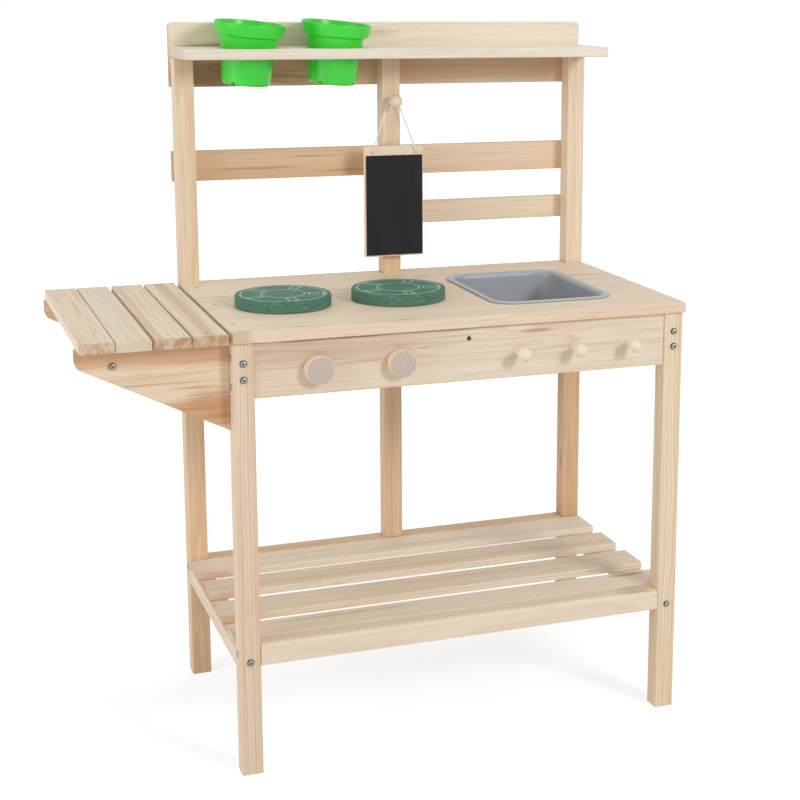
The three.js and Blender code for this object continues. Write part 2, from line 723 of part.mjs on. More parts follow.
place('sink_basin', basinGeometry(), basinPlastic,
  new THREE.Vector3(basinPlace.x, basinPlace.y, worktopHeight + seamGap));

// Knobs and their pivot screws
function knobGeometry() {
  const radius = knobDiameter / 2;
  const bore = boltShankDiameter / 2 + boltClearance;
  const boreDepth = knobScrewGrip + boltClearance;
  const points = [
    new THREE.Vector2(0, boreDepth),
    new THREE.Vector2(bore, boreDepth),
    new THREE.Vector2(bore, 0),
    new THREE.Vector2(radius, 0),
  ];
  for (let step = 0; step <= arcSteps; step += 1) {
    const angle = (step / arcSteps) * (Math.PI / 2);
    points.push(new THREE.Vector2(
      radius - knobFaceRound * (1 - Math.cos(angle)),
      knobThickness - knobFaceRound * (1 - Math.sin(angle)),
    ));
  }
  points.push(new THREE.Vector2(0, knobThickness));
  return new THREE.LatheGeometry(points, knobTurn).rotateX(Math.PI);
}

knobMiddles.forEach((x, index) => {
  const side = ['left', 'right'][index];
  place(`knob_${side}`, knobGeometry(), knobWood,
    new THREE.Vector3(x, apronSetback - knobRunningGap, controlHeight));
  const screwLength = boardThickness + 2 * knobRunningGap + knobScrewGrip;
  const screw = place(`knob_screw_${side}`, boltGeometry(screwLength), zinc,
    new THREE.Vector3(x, apronBack + knobRunningGap, controlHeight));
  screw.quaternion.setFromUnitVectors(new THREE.Vector3(0, 1, 0), outwards);
});

// Turned pegs: a tenon in the wood, a waisted neck and a ball head
function pegGeometry() {
  const headStart = Math.asin(pegNeckRadius / pegHeadRadius);
  const points = [
    new THREE.Vector2(0, -tenonLength),
    new THREE.Vector2(tenonRadius, -tenonLength),
    new THREE.Vector2(tenonRadius, seamGap),
    new THREE.Vector2(pegBaseRadius, seamGap),
    new THREE.Vector2(pegNeckRadius, pegBaseLength),
  ];
  for (let step = 0; step <= headSteps; step += 1) {
    const angle = headStart + (step / headSteps) * (Math.PI - headStart);
    const reach = pegHeadMiddle - pegHeadRadius * Math.cos(angle);
    points.push(new THREE.Vector2(pegHeadRadius * Math.sin(angle), reach));
  }
  points[points.length - 1].x = 0;
  return new THREE.LatheGeometry(points, smallTurn);
}

function placePeg(name, x, y, z) {
  const peg = place(name, pegGeometry(), pegWood, new THREE.Vector3(x, y, z));
  peg.quaternion.setFromUnitVectors(new THREE.Vector3(0, 1, 0), outwards);
}
pegMiddles.forEach((x, index) => placePeg(`peg_${index + 1}`, x, apronSetback, pegHeight));
placePeg('chalkboard_peg', centrePostMiddle, postFront, boardPegHeight);

// Chalkboard
const chalkboardBack = postFront - seamGap - 2 * knotRadius - knotRunningGap;
const chalkboardFront = chalkboardBack - chalkboardThickness;
const chalkboardLeft = centrePostMiddle - chalkboardWidth / 2;
const chalkboardRight = centrePostMiddle + chalkboardWidth / 2;
const chalkboardBottom = chalkboardTop - chalkboardHeight;
const stringHoleHeight = chalkboardTop - stringHoleDrop;
const stringHoles = [chalkboardLeft + stringHoleInset, chalkboardRight - stringHoleInset];
plank('chalkboard_back', legPine, [chalkboardLeft, chalkboardFront, chalkboardBottom],
  [chalkboardRight, chalkboardBack, chalkboardTop], 'z', stringHoles.map((x) => rod(
    new THREE.Vector3(x, chalkboardFront - cutOverrun, stringHoleHeight), inwards,
    stringHoleDiameter / 2, chalkboardThickness + 2 * cutOverrun,
  )));
const panelWidth = chalkboardWidth - 2 * panelSideMargin;
const panelHeight = chalkboardHeight - panelTopMargin - panelBottomMargin;
const panelGeometry = new THREE.BoxGeometry(panelWidth, panelThickness, panelHeight);
place('chalkboard_panel', panelGeometry, slateBlack, new THREE.Vector3(
  centrePostMiddle,
  chalkboardFront - seamGap - panelThickness / 2,
  chalkboardBottom + panelBottomMargin + panelHeight / 2,
));

// The string runs from a knot behind the board through one hole, over the neck of the peg and
// back through the other hole. These are the places that its middle passes at the left: the
// first ones from the hole in the board's front, the later ones from the neck where it leaves the post.
const stringFromHole = [
  [0, 10.5, 0],
  [0, 6.4, 0],
  [0, 2.4, 0],
  [0, -0.1, 0],
  [0.2, -1.65, 0.7],
  [0.9, -2.25, 2.6],
  [2.9, -1.75, 8],
];
const stringOverPeg = [
  [-8.3, -8.9, -4],
  [-5.8, -8.35, 2.1],
  [-4.3, -8.15, 4.4],
  [-2.1, -8, 5.8],
];
const stringTop = [0, -8, 6.2];
const fromHole = new THREE.Vector3(stringHoles[0], chalkboardFront, stringHoleHeight);
const overPeg = new THREE.Vector3(centrePostMiddle, postFront, boardPegHeight);
const leftString = [
  ...stringFromHole.map((point) => new THREE.Vector3(...point).add(fromHole)),
  ...stringOverPeg.map((point) => new THREE.Vector3(...point).add(overPeg)),
];
const mirrored = ({ x, y, z }) => new THREE.Vector3(2 * centrePostMiddle - x, y, z);
const stringRoute = [
  ...leftString,
  new THREE.Vector3(...stringTop).add(overPeg),
  ...leftString.map(mirrored).reverse(),
];
const stringCurve = new THREE.CatmullRomCurve3(stringRoute, false, 'centripetal');
const stringSection = new THREE.Shape();
for (let side = 0; side < stringSides; side += 1) {
  const angle = (side / stringSides) * Math.PI * 2;
  const point = [Math.cos(angle) * stringDiameter / 2, Math.sin(angle) * stringDiameter / 2];
  if (side === 0) stringSection.moveTo(...point);
  else stringSection.lineTo(...point);
}
const stringTube = new THREE.ExtrudeGeometry(stringSection,
  { extrudePath: stringCurve, steps: stringSteps, bevelEnabled: false });
const knots = stringHoles.map((x) => new THREE.SphereGeometry(knotRadius, boltTurn, stringSides)
  .translate(x, chalkboardBack + seamGap + knotRadius, stringHoleHeight));
place('chalkboard_string', joinTo(stringTube, knots), cottonWhite, new THREE.Vector3());

// Bolts at the front and on the outer sides
for (const half of sides) {
  const levels = ['upper', 'lower', 'foot'];
  half.frontBolts.forEach((bolt, index) => placeBolt(`bolt_${half.side}_front_${levels[index]}`, bolt));
  half.apronEndBolts.forEach((bolt, index) => placeBolt(`bolt_${half.side}_end_${levels[index]}`, bolt));
  placeBolt(`bolt_${half.side}_end_foot`, half.frontRailBolt);
  placeBolt(`bolt_${half.side}_rear_foot`, half.backRailBolt);
}
placeBolt('bolt_wing_front', wingBolts[0]);

// The middle of the footprint comes to the origin.
const footprintLeft = -wingReach - seamGap;
const footprintFront = apronSetback - pegHeadMiddle - pegHeadRadius;
kitchen.position.set(-(footprintLeft + boardRight) / 2, -(footprintFront + boardBack) / 2, 0);

export default kitchen;
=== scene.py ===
# Play kitchen of planed pine: its looks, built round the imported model.
# Places in the dictionaries are millimetres from the front left leg's outer foot corner,
# with x along the front, y towards the back and z up. Colours are written as 0 to 255.
import math

import bmesh
import bpy
import numpy as np
from mathutils import Euler, Matrix, Vector


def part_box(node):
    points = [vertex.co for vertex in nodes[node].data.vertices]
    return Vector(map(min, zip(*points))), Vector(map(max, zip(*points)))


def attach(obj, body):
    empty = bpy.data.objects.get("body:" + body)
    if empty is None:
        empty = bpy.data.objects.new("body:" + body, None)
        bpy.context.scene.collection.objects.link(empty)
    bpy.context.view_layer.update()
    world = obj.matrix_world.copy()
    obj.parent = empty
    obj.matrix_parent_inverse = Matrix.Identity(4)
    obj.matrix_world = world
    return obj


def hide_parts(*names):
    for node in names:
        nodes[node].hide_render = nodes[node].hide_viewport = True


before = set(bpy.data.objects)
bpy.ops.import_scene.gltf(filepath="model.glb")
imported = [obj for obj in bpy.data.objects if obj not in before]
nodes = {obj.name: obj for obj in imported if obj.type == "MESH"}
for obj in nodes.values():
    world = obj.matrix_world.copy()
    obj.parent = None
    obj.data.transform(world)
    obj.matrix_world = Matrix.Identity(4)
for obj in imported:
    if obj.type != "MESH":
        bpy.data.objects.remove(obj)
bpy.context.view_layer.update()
footCorner = np.array(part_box("front_left_leg")[0])
mm = 0.001
mergeGap = 1e-6  # metres, within which points of a mesh become one
up, front, back = (0, 0, 1), (0, -1, 0), (0, 1, 0)
print("frame loaded:", len(nodes), "nodes")


def at(x, y, z):
    return footCorner + np.array([x, y, z], float) * mm


view = {
    "place": (-416.1, -2038.8, 1043.5),
    "yaw": 21.644,  # degrees from straight back towards the right
    "pitch": -11.338,
    "roll": 0.486,
    "focalShare": 1653.75 / 800,  # focal length as a share of the picture's width
    "shift": (-0.15, -0.10625),
    "sensor": 36,
    "clip": (0.05, 60),  # metres
}


def makeCamera(look):
    yaw, pitch, roll = (math.radians(look[key]) for key in ("yaw", "pitch", "roll"))
    forward = Vector((math.sin(yaw) * math.cos(pitch), math.cos(yaw) * math.cos(pitch), math.sin(pitch)))
    level = Vector((math.cos(yaw), -math.sin(yaw), 0))
    rise = level.cross(forward)
    right = level * math.cos(roll) + rise * math.sin(roll)
    above = rise * math.cos(roll) - level * math.sin(roll)
    lens = bpy.data.cameras.new("studioCamera")
    lens.sensor_width = look["sensor"]
    lens.lens = look["focalShare"] * look["sensor"]
    lens.shift_x, lens.shift_y = look["shift"]
    lens.clip_start, lens.clip_end = look["clip"]
    camera = bpy.data.objects.new("studioCamera", lens)
    turn = Matrix((right, above, -forward)).transposed().to_4x4()
    camera.matrix_world = Matrix.Translation(Vector(at(*look["place"]))) @ turn
    bpy.context.scene.collection.objects.link(camera)
    bpy.context.scene.camera = camera


makeCamera(view)
print("camera set")


class Wire:
    # One output of a node. Sums and products of wires and numbers add Math nodes.
    def __init__(self, paint, socket):
        self.paint, self.socket = paint, socket

    def maths(self, operation, *others):
        return self.paint.maths(operation, self, *others)

    def __add__(self, other):
        return self.maths("ADD", other)

    def __sub__(self, other):
        return self.maths("SUBTRACT", other)

    def __mul__(self, other):
        return self.maths("MULTIPLY", other)

    def __truediv__(self, other):
        return self.maths("DIVIDE", other)

    def __rsub__(self, other):
        return self.paint.maths("SUBTRACT", other, self)

    def __abs__(self):
        return self.maths("ABSOLUTE")

    __radd__ = __add__
    __rmul__ = __mul__


def tint(color):
    # A colour written as 0 to 255 becomes linear light, by the usual display curve.
    share = np.array(color, float) / 255
    linear = np.where(share <= 0.04045, share / 12.92, ((share + 0.055) / 1.055) ** 2.4)
    return (*linear.tolist(), 1.0)


class Paint:
    # Builds the nodes of a new material, or of a world that is handed in.
    def __init__(self, name):
        self.material = bpy.data.materials.new(name) if isinstance(name, str) else name
        self.material.use_nodes = True
        self.tree = self.material.node_tree
        self.tree.nodes.clear()

    def add(self, kind, settings=None, values=None, out=0):
        # The settings are set first, then each socket gets its value or its link.
        node = self.tree.nodes.new("ShaderNode" + kind)
        for key, value in (settings or {}).items():
            setattr(node, key, value)
        for key, value in (values or {}).items():
            if isinstance(value, Wire):
                self.tree.links.new(value.socket, node.inputs[key])
            else:
                node.inputs[key].default_value = value
        return Wire(self, node.outputs[out]) if node.outputs else None

    def maths(self, operation, *terms):
        return self.add("Math", {"operation": operation}, dict(enumerate(terms)))

    def vector(self, operation, first, second, out=0):
        return self.add("VectorMath", {"operation": operation}, {0: first, 1: second}, out)

    def blend(self, share, first, second, mode="MIX"):
        # Sockets 6 and 7 take the two colours, and output 2 gives their blend.
        settings = {"data_type": "RGBA", "blend_type": mode}
        return self.add("Mix", settings, {0: share, 6: first, 7: second}, 2)

    def between(self, value, low, high):
        # 0 below low, 1 above high and a smooth rise between them
        settings = {"interpolation_type": "SMOOTHSTEP"}
        return self.add("MapRange", settings, {0: value, 1: low, 2: high, 3: 0.0, 4: 1.0})

    def noise(self, vector, scale=1.0, detail=2.0, roughness=0.5, out=0):
        values = {"Vector": vector, "Scale": scale, "Detail": detail, "Roughness": roughness}
        return self.add("TexNoise", None, values, out)

    def parts(self, vector):
        node = self.add("SeparateXYZ", None, {0: vector}).socket.node
        return [Wire(self, node.outputs[index]) for index in range(3)]

    def place(self, middle=(0, 0, 0), turn=(0, 0, 0)):
        # The piece's own coordinates in millimetres, from its middle, after a turn
        centre = Euler(turn).to_matrix() @ Vector(middle) * 1000
        values = {"Vector": self.add("TexCoord", out=3), "Location": tuple(-centre),
                  "Rotation": turn, "Scale": (1000, 1000, 1000)}
        return self.add("Mapping", {"vector_type": "POINT"}, values)

    def finish(self, values, height=None, depth=0.1):
        # values feed the surface; height is a bump of so many millimetres
        if height is not None:
            bump = {"Height": height, "Distance": depth * mm, "Strength": 1.0}
            values = {**values, "Normal": self.add("Bump", None, bump)}
        surface = self.add("BsdfPrincipled", None, values)
        self.add("OutputMaterial", None, {"Surface": surface})
        return self.material


def softCorners(points, reach, steps=5):
    # Every inner corner of a line becomes a parabola that starts and ends `reach` from it.
    points = np.array(points, float)
    corner = points[1:-1]
    reach = np.broadcast_to(np.array(reach, float), len(corner))[:, None]

    def towards(other):
        gap = other - corner
        length = np.maximum(np.linalg.norm(gap, axis=1, keepdims=True), 1e-9)
        return corner + gap * np.minimum(reach / length, 0.5)

    start, end = towards(points[:-2]), towards(points[2:])
    share = np.linspace(0, 1, steps + 1)[None, :, None]
    curve = ((1 - share) ** 2 * start[:, None] + 2 * share * (1 - share) * corner[:, None]
             + share ** 2 * end[:, None])
    return np.vstack([points[:1], curve.reshape(-1, points.shape[1]), points[-1:]])


def turned(profile, sides):
    # A profile of (radius, height) goes round the z axis: each point is (r cos a, r sin a, h).
    angle = np.arange(sides) / sides * 2 * np.pi
    radius, height = np.array(profile, float).T
    grid = np.empty((len(radius), sides, 3))
    grid[..., 0] = radius[:, None] * np.cos(angle)
    grid[..., 1] = radius[:, None] * np.sin(angle)
    grid[..., 2] = height[:, None]
    return grid


def moved(grid, middle, axis=up):
    # The z axis turns to `axis`, and the grid goes to its middle.
    turn = np.array(Vector(up).rotation_difference(Vector(axis)).to_matrix())
    return grid @ turn.T + np.array(middle, float)


def quads(rows, columns, offset=0):
    # Faces between neighbouring points of a grid whose columns close on themselves
    index = np.arange(rows * columns).reshape(rows, columns) + offset
    beside = np.roll(index, -1, axis=1)
    return np.stack([index[:-1], beside[:-1], beside[1:], index[1:]], axis=-1).reshape(-1, 4).tolist()


def makePiece(name, grids, material, body, replaced=(), sharp=40, endCaps=False, rim=None):
    # Each grid is a skin of rows along and closed columns across; poles are merged to one point.
    # rim gives a number for each point, which the material can read; the bolts' material paints shade by
    # it.
    points, faces, count = [], [], 0
    for grid in grids:
        rows, columns = grid.shape[:2]
        faces += quads(rows, columns, count)
        if endCaps:
            faces.append(list(range(count, count + columns)))
            faces.append(list(range(count + (rows - 1) * columns, count + rows * columns)))
        points.append(grid.reshape(-1, 3))
        count += rows * columns
    mesh = bpy.data.meshes.new(name)
    mesh.from_pydata((footCorner + np.vstack(points) * mm).tolist(), [], faces)
    if rim is not None:
        mesh.attributes.new("rim", "FLOAT", "POINT").data.foreach_set("value", rim.ravel())
    work = bmesh.new()
    work.from_mesh(mesh)
    bmesh.ops.remove_doubles(work, verts=work.verts, dist=mergeGap)
    bmesh.ops.recalc_face_normals(work, faces=work.faces)
    work.to_mesh(mesh)
    work.free()
    mesh.shade_smooth()
    mesh.set_sharp_from_angle(angle=math.radians(sharp))
    mesh.materials.append(material)
    piece = bpy.data.objects.new(name, mesh)
    bpy.context.scene.collection.objects.link(piece)
    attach(piece, body)
    if replaced:
        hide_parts(*replaced)
    return piece


# The chalkboard's string: its points are listed, for the left half from a hole and from the peg.
string = {
    "fromHole": [(0, 10.5, 0), (0, 6.4, 0), (0, 2.4, 0), (0, -0.1, 0), (0.2, -1.65, 0.7),
                 (0.9, -2.25, 2.6), (2.9, -1.75, 8)],
    "overPeg": [(-8.3, -8.9, -4), (-5.8, -8.35, 2.1), (-4.3, -8.15, 4.4), (-2.1, -8, 5.8)],
    "top": (0, -8, 6.2),
    "hole": (288.5, 343.1, 793),  # mouth of the left hole in the board's front
    "peg": (323, 356, 870),  # where the peg leaves the post
    "radius": 1.25,
    "steps": 12,  # from each point to the next
    "twist": 2.0,  # millimetres for each radian that the strands turn
    "strands": 3,
    "groove": 0.2,  # how deep the grooves between the strands are, as a share of the radius
    "across": (0, 0.8, 0.6),  # a way that the string never runs; its rings' first side is square to it
    "sides": 18,
    "sharp": 70,
    "knotRadius": 0.46,  # of the knot's loops
    "knotThickness": 0.78,  # of the string in the knot, from its middle
    "knotSides": 10,
    "knotSteps": 60,
    "color": (254, 254, 251),
    "shadow": (234, 232, 226),
}


def stringRoute(facts):
    # The left half, the point on top of the peg, then the left half seen in a mirror
    fromHole, overPeg = (np.array(facts[part]) for part in ("fromHole", "overPeg"))
    left = np.vstack([fromHole + facts["hole"], overPeg + facts["peg"]])
    right = left[::-1] * (-1, 1, 1) + (2 * facts["peg"][0], 0, 0)
    return np.vstack([left, [np.array(facts["top"]) + facts["peg"]], right])


def smoothLine(points, steps):
    # Centripetal spline: each stretch blends three straight lines by the roots of the points' gaps.
    points = np.vstack([2 * points[:1] - points[1:2], points, 2 * points[-1:] - points[-2:-1]])
    knot = np.concatenate([[0], np.cumsum(np.sqrt(np.linalg.norm(np.diff(points, axis=0), axis=1)))])
    p0, p1, p2, p3 = (points[i:len(points) - 3 + i, None] for i in range(4))
    t0, t1, t2, t3 = (knot[i:len(points) - 3 + i, None, None] for i in range(4))
    t = t1 + (t2 - t1) * np.linspace(0, 1, steps, endpoint=False)[None, :, None]

    def between(first, second, start, end):
        return (end - t) / (end - start) * first + (t - start) / (end - start) * second

    middle = between(p1, p2, t1, t2)
    before = between(between(p0, p1, t0, t1), middle, t0, t2)
    after = between(middle, between(p2, p3, t2, t3), t1, t3)
    return np.vstack([between(before, after, t1, t2).reshape(-1, 3), points[-2:-1]])


def tube(line, radius, sides, across, cord=None):
    # Rings round a line: each point is line + r (cos a first + sin a second), both square to the line.
    # For a cord r follows |cos(strands (a - gone / twist) / 2)|, so its strands wind round the line.
    ahead = np.gradient(line, axis=0)
    ahead /= np.linalg.norm(ahead, axis=1, keepdims=True)
    first = np.cross(ahead, across)
    first /= np.linalg.norm(first, axis=1, keepdims=True)
    second = np.cross(ahead, first)
    angle = np.arange(sides) / sides * 2 * np.pi
    reach = np.full((len(line), sides), radius)
    if cord:
        gone = np.concatenate([[0], np.cumsum(np.linalg.norm(np.diff(line, axis=0), axis=1))])
        lobes = np.abs(np.cos(cord["strands"] / 2 * (angle[None] - gone[:, None] / cord["twist"])))
        reach = radius * (1 - cord["groove"] + cord["groove"] * lobes)
    return (line[:, None] + reach[..., None] * (np.cos(angle)[None, :, None] * first[:, None]
            + np.sin(angle)[None, :, None] * second[:, None]))


def cotton():
    paint = Paint("cottonString")
    spot = paint.place()
    fluff = paint.noise(spot, scale=3.0, detail=4.0, roughness=0.7)
    color = paint.blend(paint.between(fluff, 0.35, 0.7), tint(string["shadow"]), tint(string["color"]))
    return paint.finish({"Base Color": color, "Roughness": fluff * 0.15 + 0.82}, fluff, 0.15)


cottonPaint = cotton()
stringLine = smoothLine(stringRoute(string), string["steps"])
knotAngle = np.linspace(0, 2 * np.pi, string["knotSteps"] + 1)[:, None]
# A trefoil: (sin a + 2 sin 2a, cos a - 2 cos 2a, -sin 3a), with its flat side to the board
trefoil = np.hstack([np.sin(knotAngle) + 2 * np.sin(2 * knotAngle), -np.sin(3 * knotAngle),
                     np.cos(knotAngle) - 2 * np.cos(2 * knotAngle)]) * string["knotRadius"]
knotLean = (0, 0.3, 0)  # keeps the rings' first side from lying along the line
for side, end in (("left", stringLine[0]), ("right", stringLine[-1])):
    knot = tube(trefoil + end, string["knotThickness"], string["knotSides"], trefoil + knotLean)
    makePiece("string_knot_" + side, [knot], cottonPaint, "chalkboard")
cordSkin = tube(stringLine, string["radius"], string["sides"], string["across"], string)
cordPiece = makePiece("string_cord", [cordSkin], cottonPaint, "chalkboard",
                      ["chalkboard_string"], string["sharp"], True)
(footCorner + stringLine[0] * mm).tolist()
(footCorner + stringLine * mm).tolist()


pineLook = {
    "early": (243, 230, 210),
    "late": (214, 181, 146),
    "streak": (170, 134, 98),
    "end": (192, 152, 114),
    "knot": (176, 112, 66),
    "roughness": 0.52,
    "bump": 0.12,  # mm
    "noiseStep": (7.31, 3.77, 5.19), "seamStep": 9.0,  # from one board's noise to another's, across a seam
    "jitterDepth": 2.0, "knotPush": 1.3,  # what moves the rings: mm, and knot sizes
    "blur": 1.6, "fadeStart": 0.3,  # a band's or mark's ragged edge, in shares of its half width
    "endRim": (-2.5, 0.5), "rimShare": 0.15,  # darker by a board's ends, mm from them
    "fibreShade": 0.16, "knotShare": 0.75,
    "squareWithin": 0.5,  # mm: a batten this near to square keeps its ways across the grain in order
    # Noises drawn out along the grain: cycles to the mm along and across it, detail and roughness
    "stray": ((0.0032, 0.012), 2.5, 0.5),
    "jitter": ((0.012, 0.2), 1.0, 0.5),
    "fibre": ((0.012, 1.3), 3.0, 0.6),
    "longLines": ((0.004, 0.3), 4.0, 0.65),
    "broad": ((0.002, 0.04), 2.0, 0.5),
    "fleck": ((0.016, 0.4), 2.5, 0.6),
    "patch": ((0.02, 0.09), 2.5, 0.6),
    # The two values between which each of these comes or goes
    "lineEdges": (0.48, 0.7), "warmEdges": (0.45, 0.72), "streakEdges": (0.6, 0.74),
    "patchEdges": (0.34, 0.66),
    "lateEdges": (0.3, 0.88), "yearEnd": (0.9, 1.0),  # as shares of a year ring
    "knotEdges": (0.35, 1.2), "knotReach": (0.3, 3.4),  # in knot sizes
    "endEdges": (0.6, 0.85),  # how far a face looks along the grain
}
# How a board is turned until its grain lies along x, and which of its ways then lie along y and z
grainTurns = {
    "x": ((0, 0, 0), "yz"),
    "y": ((0, 0, -math.pi / 2), "xz"),
    "z": ((0, math.pi / 2, 0), "yx"),
}

# What a board is unless the table of boards says otherwise. Tones multiply the wood's colour, so
# over 255 they lighten it, and farTone is the tone past the fade. Beyond the seam the board is
# another piece with its own rings.
# On some boards the tones, bands and marks are painted shade and shadows.
plainBoard = {
    "pith": (30, 60), "ring": 3.2, "wander": 14,  # where the rings' middle lies, their width, their bends
    "strength": 0.35, "lines": 0.4, "warmth": 0.25, "streaks": 0.2, "endShare": 0.5,
    "heartAndShade": (230, 188, 144),  # colour of the warm bands, also painted shade on some boards
    "tone": (255, 255, 255), "farTone": None, "fade": (-60, 60),
    "seam": None, "seamShift": 17, "seamWidth": 0.7, "beyondSeam": (255, 255, 255),
    "bands": (), "knots": (), "marks": (), "markColor": pineLook["streak"],
}


class BoardPaint(Paint):
    # A place is along the grain, on the wide way and on the thick way, in mm from the board's middle.
    def __init__(self, name, box, seed, board):
        super().__init__(name)
        low, high = (np.array(corner) for corner in box)
        self.board, self.seed = board, seed
        turn, (second, third) = grainTurns[board["grain"]]
        self.spot = self.place((low + high) / 2, turn)
        self.along, self.wide, self.thick = self.parts(self.spot)
        sizes = dict(zip("xyz", (high - low) * 1000))
        self.halfLength = float(sizes[board["grain"]]) / 2
        if sizes[third] > sizes[second] + pineLook["squareWithin"]:
            self.wide, self.thick = self.thick, self.wide
        self.shift = tuple(seed * step for step in pineLook["noiseStep"])
        seam = board["seam"]
        self.side = 0.0 if seam is None else self.maths("GREATER_THAN", self.wide, seam)
        self.strayX, self.strayY, self.strayZ = self.parts(self.stretched("stray", out=1))

    def stretched(self, kind, out=0):
        (along, across), detail, roughness = pineLook[kind]
        values = {0: self.spot, 1: (along, across, across), 2: self.shift}
        place = self.add("VectorMath", {"operation": "MULTIPLY_ADD"}, values)
        if self.board["seam"] is not None:
            beyond = self.add("CombineXYZ", None, {0: self.side * pineLook["seamStep"]})
            place = self.vector("ADD", place, beyond)
        return self.noise(place, 1.0, detail, roughness, out)

    def within(self, gap, edges):
        # 1 up to the near edge, 0 from the far one on
        return 1.0 - self.between(gap, *edges)

    def gapTo(self, along, wide, halfLong, halfWide):
        # Distance from a place on the board, in shares of half a length and half a width
        gapX = (self.along - along) / halfLong
        gapY = (self.wide - wide) / halfWide
        return self.maths("SQRT", gapX * gapX + gapY * gapY)

    def yearRings(self):
        # The distance from a pith beside the board, bent by slow noise and by the knots, over the
        # rings' width: its whole number is the year, and late wood is dark towards the year's end.
        board = self.board
        bend = 2 * board["wander"]
        fromPithX = (self.wide + (self.strayX - 0.5) * bend - board["pith"][0]
                     + self.side * board["seamShift"])
        fromPithY = self.thick + (self.strayY - 0.5) * bend - board["pith"][1]
        reach = self.maths("SQRT", fromPithX * fromPithX + fromPithY * fromPithY)
        reach = reach + (self.stretched("jitter") - 0.5) * pineLook["jitterDepth"]
        knotMask = None
        for along, wide, size, stretch in board["knots"]:
            gap = self.gapTo(along, wide, size * stretch, size)
            reach = reach + self.within(gap, pineLook["knotReach"]) * (size * pineLook["knotPush"])
            core = self.within(gap, pineLook["knotEdges"]) * (self.strayZ * 0.8 + 0.3)
            knotMask = core if knotMask is None else self.maths("MAXIMUM", knotMask, core)
        rings = reach / board["ring"]
        year = self.maths("FLOOR", rings)
        share = rings - year
        late = self.between(share, *pineLook["lateEdges"]) * self.within(share, pineLook["yearEnd"])
        own = self.add("TexWhiteNoise", {"noise_dimensions": "1D"}, {"W": year + self.seed})
        return late * (own * 0.75 + 0.25), knotMask

    def withFigure(self, wood, longLines, fleck):
        # Warm bands along the board, its streaks and its own marks, some of which are painted shade and
        # shadows
        board, blur, start = self.board, pineLook["blur"], pineLook["fadeStart"]
        warm = self.between(self.stretched("broad"), *pineLook["warmEdges"])
        wood = self.blend(warm * board["warmth"], wood, tint(board["heartAndShade"]))
        for way, middle, half, share in board["bands"]:
            across = self.wide if way == "wide" else self.thick
            gap = abs(across + (self.strayZ - 0.5) * (half * blur) - middle)
            gap = gap + (longLines - 0.5) * (half * blur)
            band = self.within(gap, (half * start, half))
            wood = self.blend(band * share, wood, tint(board["heartAndShade"]))
        streak = self.between(fleck, *pineLook["streakEdges"])
        wood = self.blend(streak * board["streaks"], wood, tint(pineLook["streak"]))
        for along, wide, halfLong, halfWide, share in board["marks"]:
            gap = self.gapTo(along, wide, halfLong, halfWide) + (fleck - 0.5) * blur
            wood = self.blend(self.within(gap, (start, 1.0)) * share, wood, tint(board["markColor"]))
        return wood

    def withEnds(self, wood, late):
        # End grain where a face looks along the grain, and a little darker beside the ends
        facing = self.vector("DOT_PRODUCT", self.add("TexCoord", out=1),
                             tuple(float(axis == self.board["grain"]) for axis in "xyz"), out=1)
        endFace = self.between(abs(facing), *pineLook["endEdges"])
        endWood = self.blend(late * 0.7 + 0.1, tint(pineLook["end"]), tint(pineLook["streak"]))
        patch = self.between(self.stretched("patch"), *pineLook["patchEdges"]) * 0.7 + 0.3
        wood = self.blend(endFace * patch * self.board["endShare"], wood, endWood)
        nearEnd = self.between(abs(self.along), *(self.halfLength + edge for edge in pineLook["endRim"]))
        return self.blend(nearEnd * pineLook["rimShare"], wood, tint(pineLook["end"])), endFace

    def withSeam(self, wood):
        # A dark line at the seam, and another tone beyond it
        seam, width = self.board["seam"], self.board["seamWidth"]
        tone = self.blend(self.side, (1, 1, 1, 1), tint(self.board["beyondSeam"]))
        wood = self.blend(1.0, wood, tone, "MULTIPLY")
        line = self.within(abs(self.wide - seam), (0.15, width))
        return self.blend(line * (0.35 + 0.1 * width), wood, tint(pineLook["streak"]))


def pine(name, box, seed, facts):
    # Solid wood, so that a board's faces and ends agree
    board = {**plainBoard, **facts}
    paint = BoardPaint(name, box, seed, board)
    late, knotMask = paint.yearRings()
    fibre, longLines, fleck = (paint.stretched(kind) for kind in ("fibre", "longLines", "fleck"))
    wood = paint.blend(late * board["strength"], tint(pineLook["early"]), tint(pineLook["late"]))
    lines = paint.between(longLines, *pineLook["lineEdges"])
    wood = paint.blend(lines * board["lines"], wood, tint(pineLook["late"]))
    wood = paint.withFigure(wood, longLines, fleck)
    depth = pineLook["fibreShade"]
    shade = paint.add("CombineColor", None, {key: fibre * depth + (1 - depth / 2) for key in (0, 1, 2)})
    wood = paint.blend(1.0, wood, shade, "MULTIPLY")
    wood, endFace = paint.withEnds(wood, late)
    if board["seam"] is not None:
        wood = paint.withSeam(wood)
    if knotMask is not None:
        wood = paint.blend(knotMask * pineLook["knotShare"], wood, tint(pineLook["knot"]))
    tones = tint(board["tone"])
    if board["farTone"] is not None:
        tones = paint.blend(paint.between(paint.along, *board["fade"]), tones, tint(board["farTone"]))
    wood = paint.blend(1.0, wood, tones, "MULTIPLY")
    rough = pineLook["roughness"] + (0.5 - late) * 0.12 + endFace * 0.15
    return paint.finish({"Base Color": wood, "Roughness": rough, "Specular IOR Level": 0.45},
                        fibre * 0.6 + late * 0.4, pineLook["bump"])


